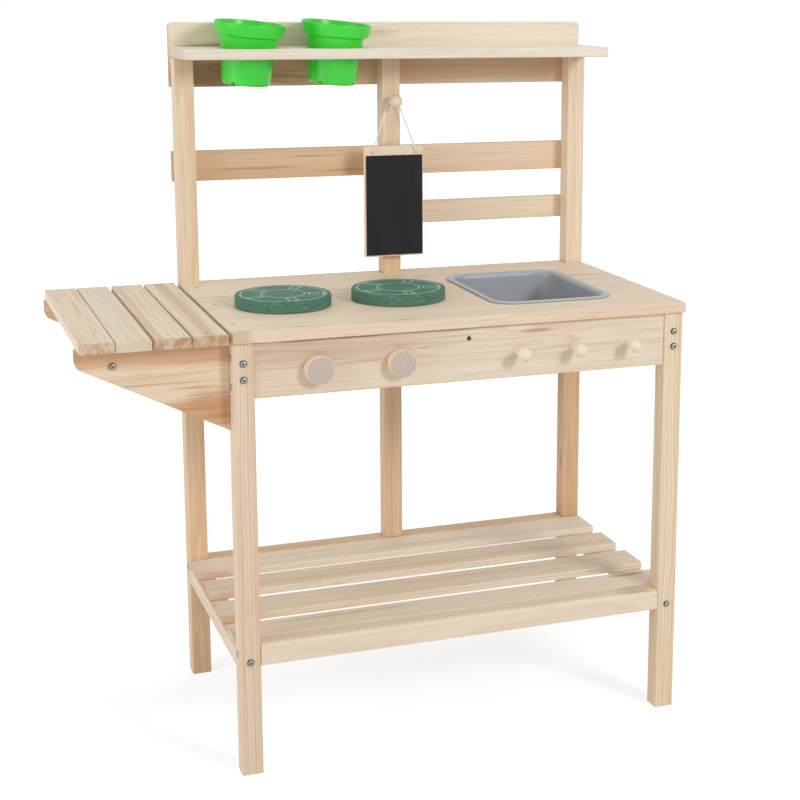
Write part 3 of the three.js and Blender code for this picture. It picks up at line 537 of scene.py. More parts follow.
# Boards whose solids hold the back bolts' threads, so plain ones take their places
planks = {
    "side_apron_left": {"low": (6.5, 28.3, 517), "high": (21.5, 355.7, 591.7), "slot": "leg_pine"},
    "side_apron_right": {"low": (618.5, 28.3, 517), "high": (633.5, 355.7, 591.7), "slot": "leg_pine"},
    "lower_end_rail_left": {"low": (0, 28.3, 147), "high": (28, 355.7, 171.7), "slot": "rail_pine"},
    "lower_end_rail_right": {"low": (612, 28.3, 147), "high": (640, 355.7, 171.7), "slot": "rail_pine"},
    "wing_cross_rail": {"low": (-156, 37.3, 548), "high": (-138, 365.7, 591.7), "slot": "bracket_pine"},
}
plankEdge = {"round": 1.5, "end": 0.6, "steps": 6, "sharp": 40}  # mm; the ends are smaller by "end"
firstPlankSeed = 41  # the other boards' seeds count from 1

# Each board: its grain, where its rings' middle lies beside it, and what else shows on it.
# A band is (way, middle, half width, strength); a knot is (along, wide, size, stretch);
# a mark is (along, wide, half length, half width, strength).
boards = {
    "front_left_leg": {
        "grain": "z", "pith": (6, 62), "ring": 4.6, "wander": 8, "strength": 0.55, "lines": 0.3,
        "tone": (249, 240, 232), "bands": [("thick", -10, 4, 0.2), ("thick", -13, 2, 0.3)]},
    "front_right_leg": {
        "grain": "z", "pith": (14, 58), "ring": 5.2, "strength": 0.55, "tone": (252, 245, 232),
        "bands": [("thick", -10, 4, 0.3)]},
    # On the posts the darker tone below the fade and the lighter farTone above it are painted shade and
    # warm bounce light under the worktop
    "rear_left_post": {
        "grain": "z", "pith": (-60, 12), "ring": 6.5, "tone": (250, 232, 212), "farTone": (253, 246, 236),
        "fade": (60, 160), "bands": [("thick", -8, 6, 0.3)]},
    "rear_right_post": {
        "grain": "z", "pith": (22, 44), "ring": 5.4, "tone": (241, 218, 192), "farTone": (260, 254, 247),
        "fade": (60, 160), "markColor": (206, 158, 112), "bands": [("thick", 4, 7, 0.25)],
        "knots": [(-190, -4, 5, 4)],
        # The two marks 22 wide are painted shade on the post below the worktop
        "marks": [(60, -6, 60, 4, 0.6), (-20, 7, 60, 3, 0.4), (-10, 0, 110, 22, 0.5),
                  (-290, 0, 50, 22, 0.4)]},
    "centre_post": {
        "grain": "z", "pith": (10, -46), "ring": 4.8, "strength": 0.5, "tone": (245, 229, 210),
        "farTone": (252, 244, 235), "fade": (60, 160), "bands": [("thick", 2, 6, 0.25)],
        "marks": [(330, 4, 60, 2.5, 0.6), (300, 9, 50, 1.5, 0.5), (320, -8, 70, 2, 0.45)]},
    "front_apron": {
        "grain": "x", "pith": (-60, 26), "ring": 3.6, "strength": 0.36, "lines": 0.3, "seam": 1,
        "seamShift": -72, "beyondSeam": (254, 251, 249), "tone": (247, 242, 239),
        "farTone": (250, 250, 250), "fade": (-260, -60), "knots": [(98, 26, 3.2, 9)],
        # The marks at wide 34.8 and 35.2 are painted shadow in the gap under the worktop, and the round one
        # at wide 21.3 is painted shade that widens the screw hole
        "marks": [(-190, 20, 230, 28, 0.32), (-170, 34.8, 190, 2, 0.9), (40, 35.2, 240, 1.2, 0.4),
                  (1, 21.3, 5.5, 5.5, 0.8), (-63, 14, 12, 1.3, 0.5)]},
    "side_apron_left": {"grain": "y", "pith": (10, 50), "ring": 3.4},
    "side_apron_right": {"grain": "y", "pith": (6, -50), "ring": 3.4},
    "rear_apron": {"grain": "x", "pith": (40, 50), "ring": 3.8},
    "worktop": {
        "grain": "x", "pith": (-40, 70), "ring": 4.0, "strength": 0.42, "lines": 0.35, "warmth": 0.2,
        "streaks": 0.45, "endShare": 0.6, "seam": 57, "seamWidth": 3.4, "beyondSeam": (262, 262, 263),
        "tone": (258, 257, 254), "farTone": (251, 248, 244), "fade": (-260, -20),
        "bands": [("wide", -203, 14, 0.4)],
        "marks": [(-232, -180, 34, 4, 0.5), (-88, -181, 24, 4, 0.45), (-314, -193, 26, 14, 0.4),
                  (-286, -10, 34, 2.5, 0.35), (-60, 60, 90, 3, 0.3), (120, -40, 50, 3, 0.3),
                  (200, -120, 40, 3, 0.3), (20, 120, 60, 3, 0.25)]},
    "lower_end_rail_left": {"grain": "y", "pith": (40, 4), "strength": 0.25, "tone": (250, 246, 242)},
    "lower_end_rail_right": {"grain": "y", "pith": (-30, 34)},
    "lower_front_rail": {
        "grain": "x", "pith": (-10, 60), "ring": 5.5, "wander": 12, "strength": 0.22, "lines": 0.15,
        "warmth": 0.15, "streaks": 0.12, "tone": (253, 248, 242), "knots": [(-255, -31, 9.5, 4)],
        "marks": [(260, 14, 50, 2, 0.5)]},
    "lower_back_rail": {"grain": "x", "pith": (30, 30), "tone": (240, 222, 200)},
    "lower_slat_1": {
        "grain": "x", "pith": (10, 40), "ring": 3.6, "strength": 0.28, "warmth": 0.1,
        "tone": (258, 255, 250), "farTone": (262, 261, 260), "fade": (-200, 60),
        # The mark at along 278 is painted shadow of the front right leg
        "marks": [(-170, 12, 150, 6, 0.3), (278, 16, 40, 8, 0.7)]},
    "lower_slat_2": {
        "grain": "x", "pith": (-12, 46), "ring": 3.6, "strength": 0.36, "streaks": 0.3, "endShare": 0.9,
        "tone": (257, 254, 250), "markColor": (202, 148, 102),
        "marks": [(-300, -31, 52, 5, 0.55), (60, 10, 120, 3, 0.35), (200, -12, 90, 2.5, 0.3)]},
    "lower_slat_3": {
        "grain": "x", "pith": (16, 40), "wander": 22, "strength": 0.46, "lines": 0.5, "streaks": 0.4,
        "endShare": 0.9, "tone": (257, 255, 252), "markColor": (202, 148, 102),
        "bands": [("wide", -10, 9, 0.4)],
        "marks": [(-300, -31, 52, 5, 0.55), (-60, 8, 130, 3, 0.35), (150, -4, 100, 3, 0.3)]},
    "lower_slat_4": {
        "grain": "x", "pith": (0, 42), "ring": 3.4, "wander": 20, "strength": 0.32, "streaks": 0.35,
        "endShare": 0.9, "tone": (260, 261, 262), "markColor": (202, 148, 102),
        "marks": [(-295, -31, 52, 5, 0.55), (-150, 6, 120, 3, 0.35), (80, -8, 120, 3, 0.35)]},
    "wing_bracket_front": {
        "grain": "x", "pith": (6, 90), "ring": 4.6, "wander": 7, "strength": 0.5, "lines": 0.6,
        "warmth": 0.2, "heartAndShade": (206, 158, 116), "streaks": 0.4, "tone": (255, 248, 238),
        # The band at wide 48 and the mark at wide 56 are painted shadow under the wing's slats
        "markColor": (192, 138, 92), "bands": [("wide", 48, 18, 0.7), ("wide", -34, 24, 0.85)],
        "marks": [(60, 2, 50, 2, 0.5), (74, -16, 46, 20, 0.65), (40, -26, 60, 2.4, 0.6),
                  (82, -38, 30, 6, 0.7), (-40, 56, 150, 5, 0.5), (60, 36, 70, 5, 0.35),
                  (20, 20, 90, 1.6, 0.4), (0, 10, 80, 1.4, 0.35)]},
    "wing_bracket_rear": {
        "grain": "x", "pith": (30, -60), "ring": 5.0, "warmth": 0.7, "tone": (250, 234, 212)},
    "wing_cross_rail": {"grain": "y", "pith": (30, 40), "ring": 3.8},
    "wing_slat_1": {
        "grain": "y", "pith": (34, 40), "ring": 3.6, "wander": 5, "strength": 0.5, "lines": 0.75,
        "streaks": 0.45, "endShare": 0.75, "tone": (256, 254, 251)},
    "wing_slat_2": {
        "grain": "y", "pith": (-70, 50), "ring": 5.6, "wander": 5, "strength": 0.2, "warmth": 0.1,
        "streaks": 0.25, "endShare": 0.15, "tone": (252, 250, 248)},
    "wing_slat_3": {
        "grain": "y", "pith": (20, 50), "ring": 3.8, "wander": 5, "strength": 0.4, "lines": 0.7,
        "heartAndShade": (212, 168, 134), "streaks": 0.35, "endShare": 1.0, "tone": (257, 256, 253),
        "bands": [("wide", 17, 7, 0.5)]},
    "wing_slat_4": {
        "grain": "y", "pith": (4, 44), "ring": 3.8, "wander": 5, "lines": 0.7, "heartAndShade": (212, 170, 134),
        "streaks": 0.35, "endShare": 1.0, "tone": (256, 255, 253), "bands": [("wide", 1, 11, 0.55)],
        "knots": [(180, -2, 2.6, 2)]},
    "top_shelf": {
        "grain": "x", "pith": (70, 40), "ring": 4.0, "strength": 0.22, "lines": 0.25, "warmth": 0.1,
        "heartAndShade": (184, 138, 98), "endShare": 0.2, "tone": (254, 258, 262),
        # The band on the thick way is painted shade on the shelf's underside
        "bands": [("thick", -8.6, 2.4, 0.95)]},
    "top_back_board": {
        "grain": "x", "pith": (8, 56), "ring": 4.6, "warmth": 0.2, "heartAndShade": (216, 166, 120),
        "endShare": 0.3, "tone": (255, 257, 258),
        # The bands at wide -38 and -13 are painted shadow under the top shelf, and the marks at along -225
        # and -250 are painted shadow of the pots
        "bands": [("wide", -38, 24, 0.6), ("wide", -13, 19, 0.75), ("wide", 16, 9, 0.15)],
        "marks": [(-20, 30, 60, 10, 0.3), (-258, 12, 60, 7, 0.7), (-225, -34, 150, 20, 0.9),
                  (-250, -30, 150, 26, 0.75)]},
    "middle_rail": {
        "grain": "x", "pith": (44, 30), "ring": 2.6, "strength": 0.4, "warmth": 0.3,
        # The darker tone left of the fade, with the lighter farTone past it, is painted shadow of the
        # chalkboard
        "tone": (241, 219, 198), "farTone": (258, 246, 237), "fade": (-50, 40),
        "bands": [("wide", -16, 14, 0.3)], "knots": [(-300, 8, 3, 3)],
        "marks": [(-200, -6, 70, 2.4, 0.5), (-120, 10, 60, 2, 0.45), (-60, -12, 50, 3, 0.4)]},
    "half_rail": {"grain": "x", "pith": (44, 20), "ring": 3.0, "warmth": 0.2, "tone": (258, 253, 247)},
    "chalkboard_back": {
        "grain": "z", "pith": (60, 80), "ring": 2.4, "strength": 0.15, "lines": 0.15, "warmth": 0.05,
        "streaks": 0.0, "endShare": 0.1, "tone": (257, 250, 242)},
}


def repaint(name, material):
    nodes[name].data.materials.clear()
    nodes[name].data.materials.append(material)


for seed, (name, facts) in enumerate(boards.items(), 1):
    if name not in planks:
        repaint(name, pine("pine_" + name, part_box(name), seed, facts))
print("boards painted:", len(boards) - len(planks))


def plankGrid(low, high, facts):
    # A rounded rectangle carried along y, a little smaller at both ends: each corner's points are
    # its middle plus round (cos a, sin a), and the end rows shrink towards the plank's middle.
    low, high = np.array(low, float), np.array(high, float)
    middle, half = (low + high) / 2, (high - low) / 2
    angle = (np.arange(4)[:, None] + np.linspace(0, 1, facts["steps"])[None]) * np.pi / 2
    cornerX = np.array([1, -1, -1, 1])[:, None] * (half[0] - facts["round"])
    cornerZ = np.array([1, 1, -1, -1])[:, None] * (half[2] - facts["round"])
    x = (cornerX + facts["round"] * np.cos(angle)).ravel()
    z = (cornerZ + facts["round"] * np.sin(angle)).ravel()
    shrink = np.array([1, 0, 0, 1]) * facts["end"]
    rows = middle[1] + np.array([-1, -1, 1, 1]) * (half[1] - np.array([0, 1, 1, 0]) * facts["end"])
    grid = np.empty((4, len(x), 3))
    grid[..., 0] = middle[0] + x * (1 - shrink / half[0])[:, None]
    grid[..., 1] = rows[:, None]
    grid[..., 2] = middle[2] + z * (1 - shrink / half[2])[:, None]
    return grid


for seed, (name, plank) in enumerate(planks.items(), firstPlankSeed):
    plankPaint = pine("pine_" + name, (at(*plank["low"]), at(*plank["high"])), seed, boards[name])
    makePiece("plank_" + name, [plankGrid(plank["low"], plank["high"], plankEdge)], plankPaint, "frame",
              [name], plankEdge["sharp"], True)
print("planks made")


pots = {
    "middles": {"left": 101, "right": 228},
    "y": 327, "z": 942.5,  # where they lean, in the shelf
    "below": 44.5,  # from there down to the underside
    "sideTilt": 4.5, "frontTilt": 4,  # degrees
    # (radius, height) from the middle of the underside round the rim to the floor
    "profile": [(0, 1.4), (28.6, 1.2), (31.4, 0), (34.2, 1.4), (41, 70), (46.6, 70), (47.4, 71),
                (49.6, 80.5), (50.7, 86.6), (50.2, 88), (48.9, 87.4), (47.6, 80.6), (45.6, 72.6),
                (39.6, 71.4), (32.9, 4.2), (31.5, 2.8), (0, 2.4)],
    "rounding": [1, 2, 3, 2.5, 1, 0.5, 0.8, 2, 1, 0.5, 0.5, 2, 1.5, 1.5, 1.5],
    "roundSteps": 4, "sides": 120, "sharp": 38,
    "slots": 4, "slotWidth": 6, "slotHeight": 5.2, "slotDepth": 4, "slotReach": (27, 48), "slotSteps": 9,
    "green": (62, 222, 57), "deepGreen": (36, 198, 42), "scuffGreen": (150, 236, 150),
}


def potPlastic():
    paint = Paint("greenPotPlastic")
    spot = paint.place()
    cloud = paint.noise(spot, scale=0.02)
    grain = paint.noise(spot, scale=1.6, detail=3.0, roughness=0.6)
    scuff = paint.noise(paint.vector("MULTIPLY", spot, (0.9, 0.9, 0.06)), detail=3.0, roughness=0.7)
    color = paint.blend(paint.between(cloud, 0.35, 0.75) * 0.5, tint(pots["green"]),
                        tint(pots["deepGreen"]))
    color = paint.blend(paint.between(scuff, 0.62, 0.8) * 0.12, color, tint(pots["scuffGreen"]))
    rough = paint.between(scuff, 0.5, 0.8) * 0.12 + 0.3
    return paint.finish({"Base Color": color, "Roughness": rough, "Specular IOR Level": 0.5}, grain, 0.03)


def slotCutter(facts, angle):
    # An arch of the slot's width, drawn out along the pot's radius: half (cos a, sin a) above
    # two straight sides, at the slot's inner and outer reach
    half, low = facts["slotWidth"] / 2, -facts["slotDepth"]
    bend = np.linspace(0, np.pi, facts["slotSteps"])
    top = np.stack([half * np.cos(bend), facts["slotHeight"] - half + half * np.sin(bend)], 1)
    arch = np.vstack([(-half, low), (half, low), top])
    rows = np.stack([np.insert(arch, 0, reach, axis=1) for reach in facts["slotReach"]])
    return rows @ np.array(Matrix.Rotation(angle, 3, "Z")).T


def cutBy(piece, cutter, sharp):
    # The cutter is taken away from the piece, and the result becomes the piece's own mesh.
    tool = piece.modifiers.new("slots", "BOOLEAN")
    tool.operation, tool.solver, tool.object = "DIFFERENCE", "EXACT", cutter
    solid = piece.evaluated_get(bpy.context.evaluated_depsgraph_get())
    mesh = bpy.data.meshes.new_from_object(solid)
    piece.modifiers.clear()
    piece.data = mesh
    mesh.shade_smooth()
    mesh.set_sharp_from_angle(angle=math.radians(sharp))
    bpy.data.objects.remove(cutter)


potPaint = potPlastic()
potTurn = np.array(Euler((math.radians(pots["frontTilt"]), 0, 0)).to_matrix()
                   @ Euler((0, math.radians(pots["sideTilt"]), 0)).to_matrix())
potSkin = turned(softCorners(pots["profile"], pots["rounding"], pots["roundSteps"]), pots["sides"])
slotAngles = (np.arange(pots["slots"]) + 0.5) * 2 * np.pi / pots["slots"]
slotSkins = [slotCutter(pots, angle) for angle in slotAngles]
for side, middleX in pots["middles"].items():
    pivot = (middleX, pots["y"], pots["z"])
    skin, *cutters = [(grid - (0, 0, pots["below"])) @ potTurn.T + pivot for grid in [potSkin, *slotSkins]]
    body = side + "_pot"
    pot = makePiece("pot_" + side, [skin], potPaint, body, ["flower_pot_" + side],
                    pots["sharp"])
    tool = makePiece("slotTool", cutters, potPaint, body, endCaps=True)
    cutBy(pot, tool, pots["sharp"])
print("pots made")


basin = {
    "middle": (472, 176.5, 607.3),
    "length": 184, "width": 243,
    # The corners tighten from the rim inwards, by this share of what a ring is set in
    "corner": 34, "cornerShare": 0.4, "leastCorner": 1.0,
    # (set in from the rim's edge, height), from the middle of the underside round the rim to the floor
    "section": [(80, -87.4), (16.6, -87.4), (8.6, 0), (1.2, 0), (0, 1.2), (1.6, 2.7), (4.2, 3.0),
                (8.6, 2.4), (11, -2.2), (19, -85), (80, -85)],
    "rounding": [18, 1, 0.8, 0.9, 1.4, 1.6, 2.4, 3.2, 17],
    "cornerSteps": 14, "roundSteps": 6, "sharp": 50,
    # The rim colour is a painted highlight on the rolled lip
    "grey": (169, 173, 178), "deepGrey": (155, 160, 166), "rim": (184, 192, 197),
    "scratch": (170, 178, 182),
}


def roundedRing(inset, height, facts):
    # Rings of four quarter circles joined by straight sides: corner middle + corner (cos a, sin a)
    corner = facts["corner"] - facts["cornerShare"] * inset
    corner = np.maximum(corner, facts["leastCorner"])[:, None, None]
    halfX = (facts["length"] / 2 - inset)[:, None, None]
    halfY = (facts["width"] / 2 - inset)[:, None, None]
    quarter = np.arange(4)[None, :, None]
    angle = (quarter + np.linspace(0, 1, facts["cornerSteps"])[None, None, :]) * np.pi / 2
    signX = np.array([1, -1, -1, 1])[None, :, None]
    signY = np.array([1, 1, -1, -1])[None, :, None]
    x = signX * (halfX - corner) + corner * np.cos(angle)
    y = signY * (halfY - corner) + corner * np.sin(angle)
    z = np.broadcast_to(np.asarray(height)[:, None, None], x.shape)
    return np.stack([x, y, z], axis=-1).reshape(len(inset), -1, 3)


def basinPlastic():
    paint = Paint("greyBasinPlastic")
    spot = paint.place(at(*basin["middle"]))
    _, _, height = paint.parts(spot)
    cloud = paint.noise(spot, scale=0.012)
    grain = paint.noise(spot, scale=2.2, detail=3.0, roughness=0.6)
    scratch = paint.noise(paint.vector("MULTIPLY", spot, (0.05, 1.1, 0.4)), roughness=0.7)
    color = paint.blend(paint.between(cloud, 0.3, 0.7), tint(basin["grey"]), tint(basin["deepGrey"]))
    # Painted highlight: paler towards the rim's top
    color = paint.blend(paint.between(height, -1.5, 1.2) * 0.75, color, tint(basin["rim"]))
    color = paint.blend(paint.between(scratch, 0.66, 0.8) * 0.1, color, tint(basin["scratch"]))
    rough = paint.between(scratch, 0.5, 0.8) * 0.12 + 0.36
    return paint.finish({"Base Color": color, "Roughness": rough}, grain, 0.03)


basinSection = softCorners(basin["section"], basin["rounding"], basin["roundSteps"])
basinSkin = roundedRing(*basinSection.T, basin) + np.array(basin["middle"])
makePiece("basin_shell", [basinSkin], basinPlastic(), "basin", ["sink_basin"],
          basin["sharp"], True)
print("basin made")


discs = {
    "left": (104.5, 156), "right": (269, 153),
    "z": 607.3, "radius": 66, "thickness": 16, "rounding": 1.6, "roundSteps": 6, "sides": 128, "sharp": 50,
    "outerRing": 0.885, "innerRing": 0.45,  # as shares of the radius
    "lineEdges": (0.476, 1.088),  # mm from a line's middle, where it starts to fade and is gone
    "marks": 5, "mark": (0.53, 0.84, 0.085),  # start, end and half width, as shares of the radius
    "markTurn": -16,  # degrees
    "topEdges": (-0.8, -0.2),  # mm from the top, between which the lines appear
    "green": (92, 136, 116), "deepGreen": (58, 100, 82), "paleGreen": (120, 162, 142),
    "chalkLine": (196, 228, 216),
}


def discPaint(side):
    # Stain over wood grain, two rings and five marks with two long and two short sides each
    paint = Paint("greenDisc_" + side)
    spot = paint.place(at(*discs[side], discs["z"]))
    x, y, height = paint.parts(spot)
    radius = discs["radius"]
    reach = paint.maths("SQRT", x * x + y * y)
    grain = paint.noise(paint.vector("MULTIPLY", spot, (0.02, 0.35, 0.35)), detail=3.0, roughness=0.6)
    fine = paint.noise(paint.vector("MULTIPLY", spot, (0.12, 1.6, 1.6)), roughness=0.6)
    color = paint.blend(paint.between(grain, 0.3, 0.7), tint(discs["deepGreen"]), tint(discs["green"]))
    color = paint.blend(paint.between(fine, 0.55, 0.8) * 0.6, color, tint(discs["paleGreen"]))
    angle = paint.maths("ARCTAN2", y, x) - math.radians(discs["markTurn"])
    sector = 2 * math.pi / discs["marks"]
    folded = paint.maths("WRAP", angle, sector / 2, -sector / 2)
    outward = reach * paint.maths("COSINE", folded)
    sideways = abs(reach * paint.maths("SINE", folded))
    start, end, half = (share * radius for share in discs["mark"])
    box = paint.maths("MAXIMUM", abs(outward - (start + end) / 2) - (end - start) / 2, sideways - half)
    nearest = paint.maths("MINIMUM", abs(reach - discs["outerRing"] * radius),
                          abs(reach - discs["innerRing"] * radius))
    nearest = paint.maths("MINIMUM", nearest, abs(box))
    line = 1.0 - paint.between(nearest, *discs["lineEdges"])
    faint = paint.between(paint.noise(spot, scale=0.09), 0.3, 0.55) * 0.35 + 0.65
    onTop = paint.between(height, *(discs["thickness"] + edge for edge in discs["topEdges"]))
    mask = line * faint * onTop
    color = paint.blend(mask, color, tint(discs["chalkLine"]))
    return paint.finish({"Base Color": color, "Roughness": 0.62 - mask * 0.1, "Specular IOR Level": 0.35},
                        fine * 0.5 + grain * 0.5 + mask * 0.4, 0.15)


def discGrid(facts):
    # A round disc, whose section goes from the middle of its underside to the middle of its top
    radius, thickness = facts["radius"], facts["thickness"]
    section = [(0, 0), (radius, 0), (radius, thickness), (0, thickness)]
    return turned(softCorners(section, facts["rounding"], facts["roundSteps"]), facts["sides"])


discSkin = discGrid(discs)
for side in ("left", "right"):
    disc = moved(discSkin, (*discs[side], discs["z"]))
    makePiece("disc_" + side, [disc], discPaint(side), "frame", ["burner_" + side],
              discs["sharp"])
print("discs made")


knobs = {
    "left": 112, "right": 224, "y": 2.5, "z": 551, "radius": 19, "thickness": 15,
    "rounding": (0.8, 2.6), "roundSteps": 8, "sides": 96, "sharp": 50,
    "lines": {"left": 1.6, "right": 0.48},  # how close the end grain's lines lie
    "face": ((210, 192, 180), (182, 160, 150)),
    "edge": ((246, 224, 196), (214, 184, 148)),
}
pegs = {
    "places": {"peg_1": (392, 3, 553), "peg_2": (474.5, 3, 553), "peg_3": (557, 3, 553),
               "chalkboard_peg": (323, 356, 870)},
    "profile": [(0, -12), (4, -12), (4, 0.3), (6, 0.3), (6.2, 1.6), (5.2, 4.4), (4.5, 8.5), (4.6, 13.5),
                (5.4, 16.2)],
    "rounding": [0.3, 0.1, 0.1, 0.6, 1.2, 2, 2],
    "ball": 9.5, "ballMiddle": 24.5, "ballSteps": 22,
    "neckAngle": 0.55,  # radians from the ball's back to its neck's edge
    "roundSteps": 4, "sides": 48, "sharp": 50, "lines": 1.3,
    "wood": ((243, 231, 208), (230, 211, 178)),
}
turnedGrain = {
    "lean": (0.82, 0.3), "bend": 9.0, "pitch": 3.1,  # the lines' way over x and z, their bends, their pitch
    "lineShare": 0.45, "fibreShare": 0.35, "faceEdges": (0.75, 0.97),
}


def turnedWood(name, middle, wood, closeness, faceWood=None):
    # End grain on the face: lines across the piece, bent by noise; long fibres round the side.
    # Each wood is a pale and a dark colour.
    paint = Paint(name)
    spot = paint.place(middle)
    slow = paint.noise(spot, scale=0.05)
    x, _, z = paint.parts(spot)
    leanX, leanZ = turnedGrain["lean"]
    across = x * leanX + z * leanZ + slow * turnedGrain["bend"]
    lines = paint.maths("SINE", across * (turnedGrain["pitch"] * closeness))
    fibre = paint.noise(paint.vector("MULTIPLY", spot, (1.8, 0.3, 1.8)), detail=3.0, roughness=0.65)
    mask = (paint.between(lines, 0.1, 1.0) * turnedGrain["lineShare"]
            + paint.between(fibre, 0.4, 0.8) * turnedGrain["fibreShare"])
    color = paint.blend(mask, *map(tint, wood))
    if faceWood is not None:
        facing = paint.vector("DOT_PRODUCT", paint.add("TexCoord", out=1), (0.0, -1.0, 0.0), out=1)
        face = paint.blend(mask, *map(tint, faceWood))
        color = paint.blend(paint.between(facing, *turnedGrain["faceEdges"]), color, face)
    return paint.finish({"Base Color": color, "Roughness": fibre * 0.15 + 0.45, "Specular IOR Level": 0.4},
                        fibre, 0.08)


knobSkin = discGrid(knobs)
for side, closeness in knobs["lines"].items():
    middle = (knobs[side], knobs["y"], knobs["z"])
    knobPaint = turnedWood("knobWood_" + side, at(*middle), knobs["edge"], closeness, knobs["face"])
    makePiece("turned_knob_" + side, [moved(knobSkin, middle, front)], knobPaint, side + "_knob",
              ["knob_" + side], knobs["sharp"])

# The peg's stem, then its ball: (ball sin a, middle - ball cos a)
ballAngle = np.linspace(pegs["neckAngle"], np.pi, pegs["ballSteps"])
ball = np.stack([pegs["ball"] * np.sin(ballAngle),
                 pegs["ballMiddle"] - pegs["ball"] * np.cos(ballAngle)], 1)
ball[-1, 0] = 0
pegStem = softCorners(pegs["profile"], pegs["rounding"], pegs["roundSteps"])
pegSkin = turned(np.vstack([pegStem, ball]), pegs["sides"])
for name, place in pegs["places"].items():
    pegPaint = turnedWood("pegWood_" + name, at(*place), pegs["wood"], pegs["lines"])
    makePiece("turned_" + name, [moved(pegSkin, place, front)], pegPaint, "frame", [name],
              pegs["sharp"])
print("knobs and pegs made")


bolts = {
    "head": 4.6, "edge": 0.6, "shank": 2, "length": 50, "point": 3, "standOff": 0.15,
    # Height of the head and how dark the painted shade round its edge is: those at the ends are flatter and
    # brighter
    "kinds": {"front": (2.9, 1), "end": (1.5, 0.6)},
    # The sunk cross: half an arm's width, its reach, how softly both end, its depth and how dark its
    # painted shade is
    "armWidth": 0.62, "armLength": 2.5, "armSlope": (0.25, 0.5), "recess": 1.5, "crossShade": 0.78,
    "sides": 56, "steps": 15, "sharp": 35, "spin": 1.3,  # radians from one head's cross to the next one's
    # The last colour is painted shade round each head's edge and in its sunk cross
    "zinc": (184, 188, 188), "dull": (124, 128, 128), "paintedRimShade": (44, 44, 42),
    # Each side's leg: its middle, its outer face and the way out
    "legs": {"left": (14, 0, -1), "right": (626, 640, 1)},
    "back": 384,
    "levels": {"upper": 565, "lower": 543.5, "foot": 159.5},
    "endLevels": {"end_upper": (10.5, 571.5), "end_lower": (10.5, 533), "end_foot": (14, 168),
                  "rear_foot": (370, 169)},
    "wing": {"x": -147, "z": 570, "front": 19},
}


def zincPaint():
    paint = Paint("zincPlate")
    spot = paint.place()
    cloud = paint.noise(spot, scale=0.6, detail=3.0, roughness=0.6)
    fine = paint.noise(spot, scale=4.0)
    color = paint.blend(paint.between(cloud, 0.35, 0.7), tint(bolts["zinc"]), tint(bolts["dull"]))
    # Painted shade: dark towards each head's edge and in its sunk cross
    rim = paint.add("Attribute", {"attribute_name": "rim"}, out=2)
    color = paint.blend(paint.between(rim, 0.62, 0.95), color, tint(bolts["paintedRimShade"]))
    rough = cloud * 0.25 + 0.22
    return paint.finish({"Base Color": color, "Roughness": rough, "Metallic": 0.92}, fine, 0.02)


def boltGrid(facts, kind):
    # A domed head, h = edge + crown sqrt(1 - r2), with a cross sunk into it, then a plain shank.
    # Beside each point's place: its share of the head's radius, more in the cross, 1 on the shank, by which
    # the material paints shade at the head's edge and in the cross
    height, paintedShade = facts["kinds"][kind]
    lean = np.linspace(0, np.pi / 2, facts["steps"])
    head = np.stack([facts["head"] * np.sin(lean),
                     facts["edge"] + (height - facts["edge"]) * np.cos(lean)], 1)
    shank = [(facts["head"], 0), (facts["shank"], 0), (facts["shank"], facts["point"] - facts["length"]),
             (0, -facts["length"])]
    grid = turned(np.vstack([head, shank]), facts["sides"])
    x, y = np.abs(grid[..., 0]), np.abs(grid[..., 1])

    def arm(wide, long):
        return (np.clip((facts["armWidth"] - wide) / facts["armSlope"][0], 0, 1)
                * np.clip((facts["armLength"] - long) / facts["armSlope"][1], 0, 1))

    onHead = grid[..., 2] > facts["edge"] / 2
    sunk = np.maximum(arm(x, y), arm(y, x)) * onHead
    rim = np.where(onHead, np.hypot(x, y) / facts["head"], 1.0)
    grid[..., 2] -= sunk * facts["recess"] * height / facts["kinds"]["front"][0]
    return grid, np.maximum(rim, sunk * facts["crossShade"]) * paintedShade


def boltPlaces(facts):
    # Each bolt's name, the middle of its head's seat and the way that it looks
    wing = facts["wing"]
    for side, (middleX, outerX, out) in facts["legs"].items():
        for level, z in facts["levels"].items():
            yield f"bolt_{side}_front_{level}", (middleX, 0, z), front
            yield f"back_bolt_{side}_{level}", (middleX, facts["back"], z), back
        for level, (y, z) in facts["endLevels"].items():
            yield f"bolt_{side}_{level}", (outerX, y, z), (out, 0, 0)
    yield "bolt_wing_front", (wing["x"], wing["front"], wing["z"]), front
    yield "back_bolt_wing", (wing["x"], facts["back"], wing["z"]), back


zincLook = zincPaint()
boltShapes = {kind: boltGrid(bolts, kind) for kind in bolts["kinds"]}
for index, (name, place, axis) in enumerate(boltPlaces(bolts)):
    spin = np.array(Matrix.Rotation(index * bolts["spin"], 3, "Z"))
    shape, rim = boltShapes["end" if axis[0] else "front"]
    grid = moved(shape @ spin.T, np.array(place) + np.array(axis) * bolts["standOff"], axis)
    stands = [name] if name in nodes else []
    makePiece(name + "_head" if stands else name, [grid], zincLook, "frame", stands,
              bolts["sharp"], rim=rim)
for side in ("left", "right"):
    repaint("knob_screw_" + side, zincLook)
print("bolts made")


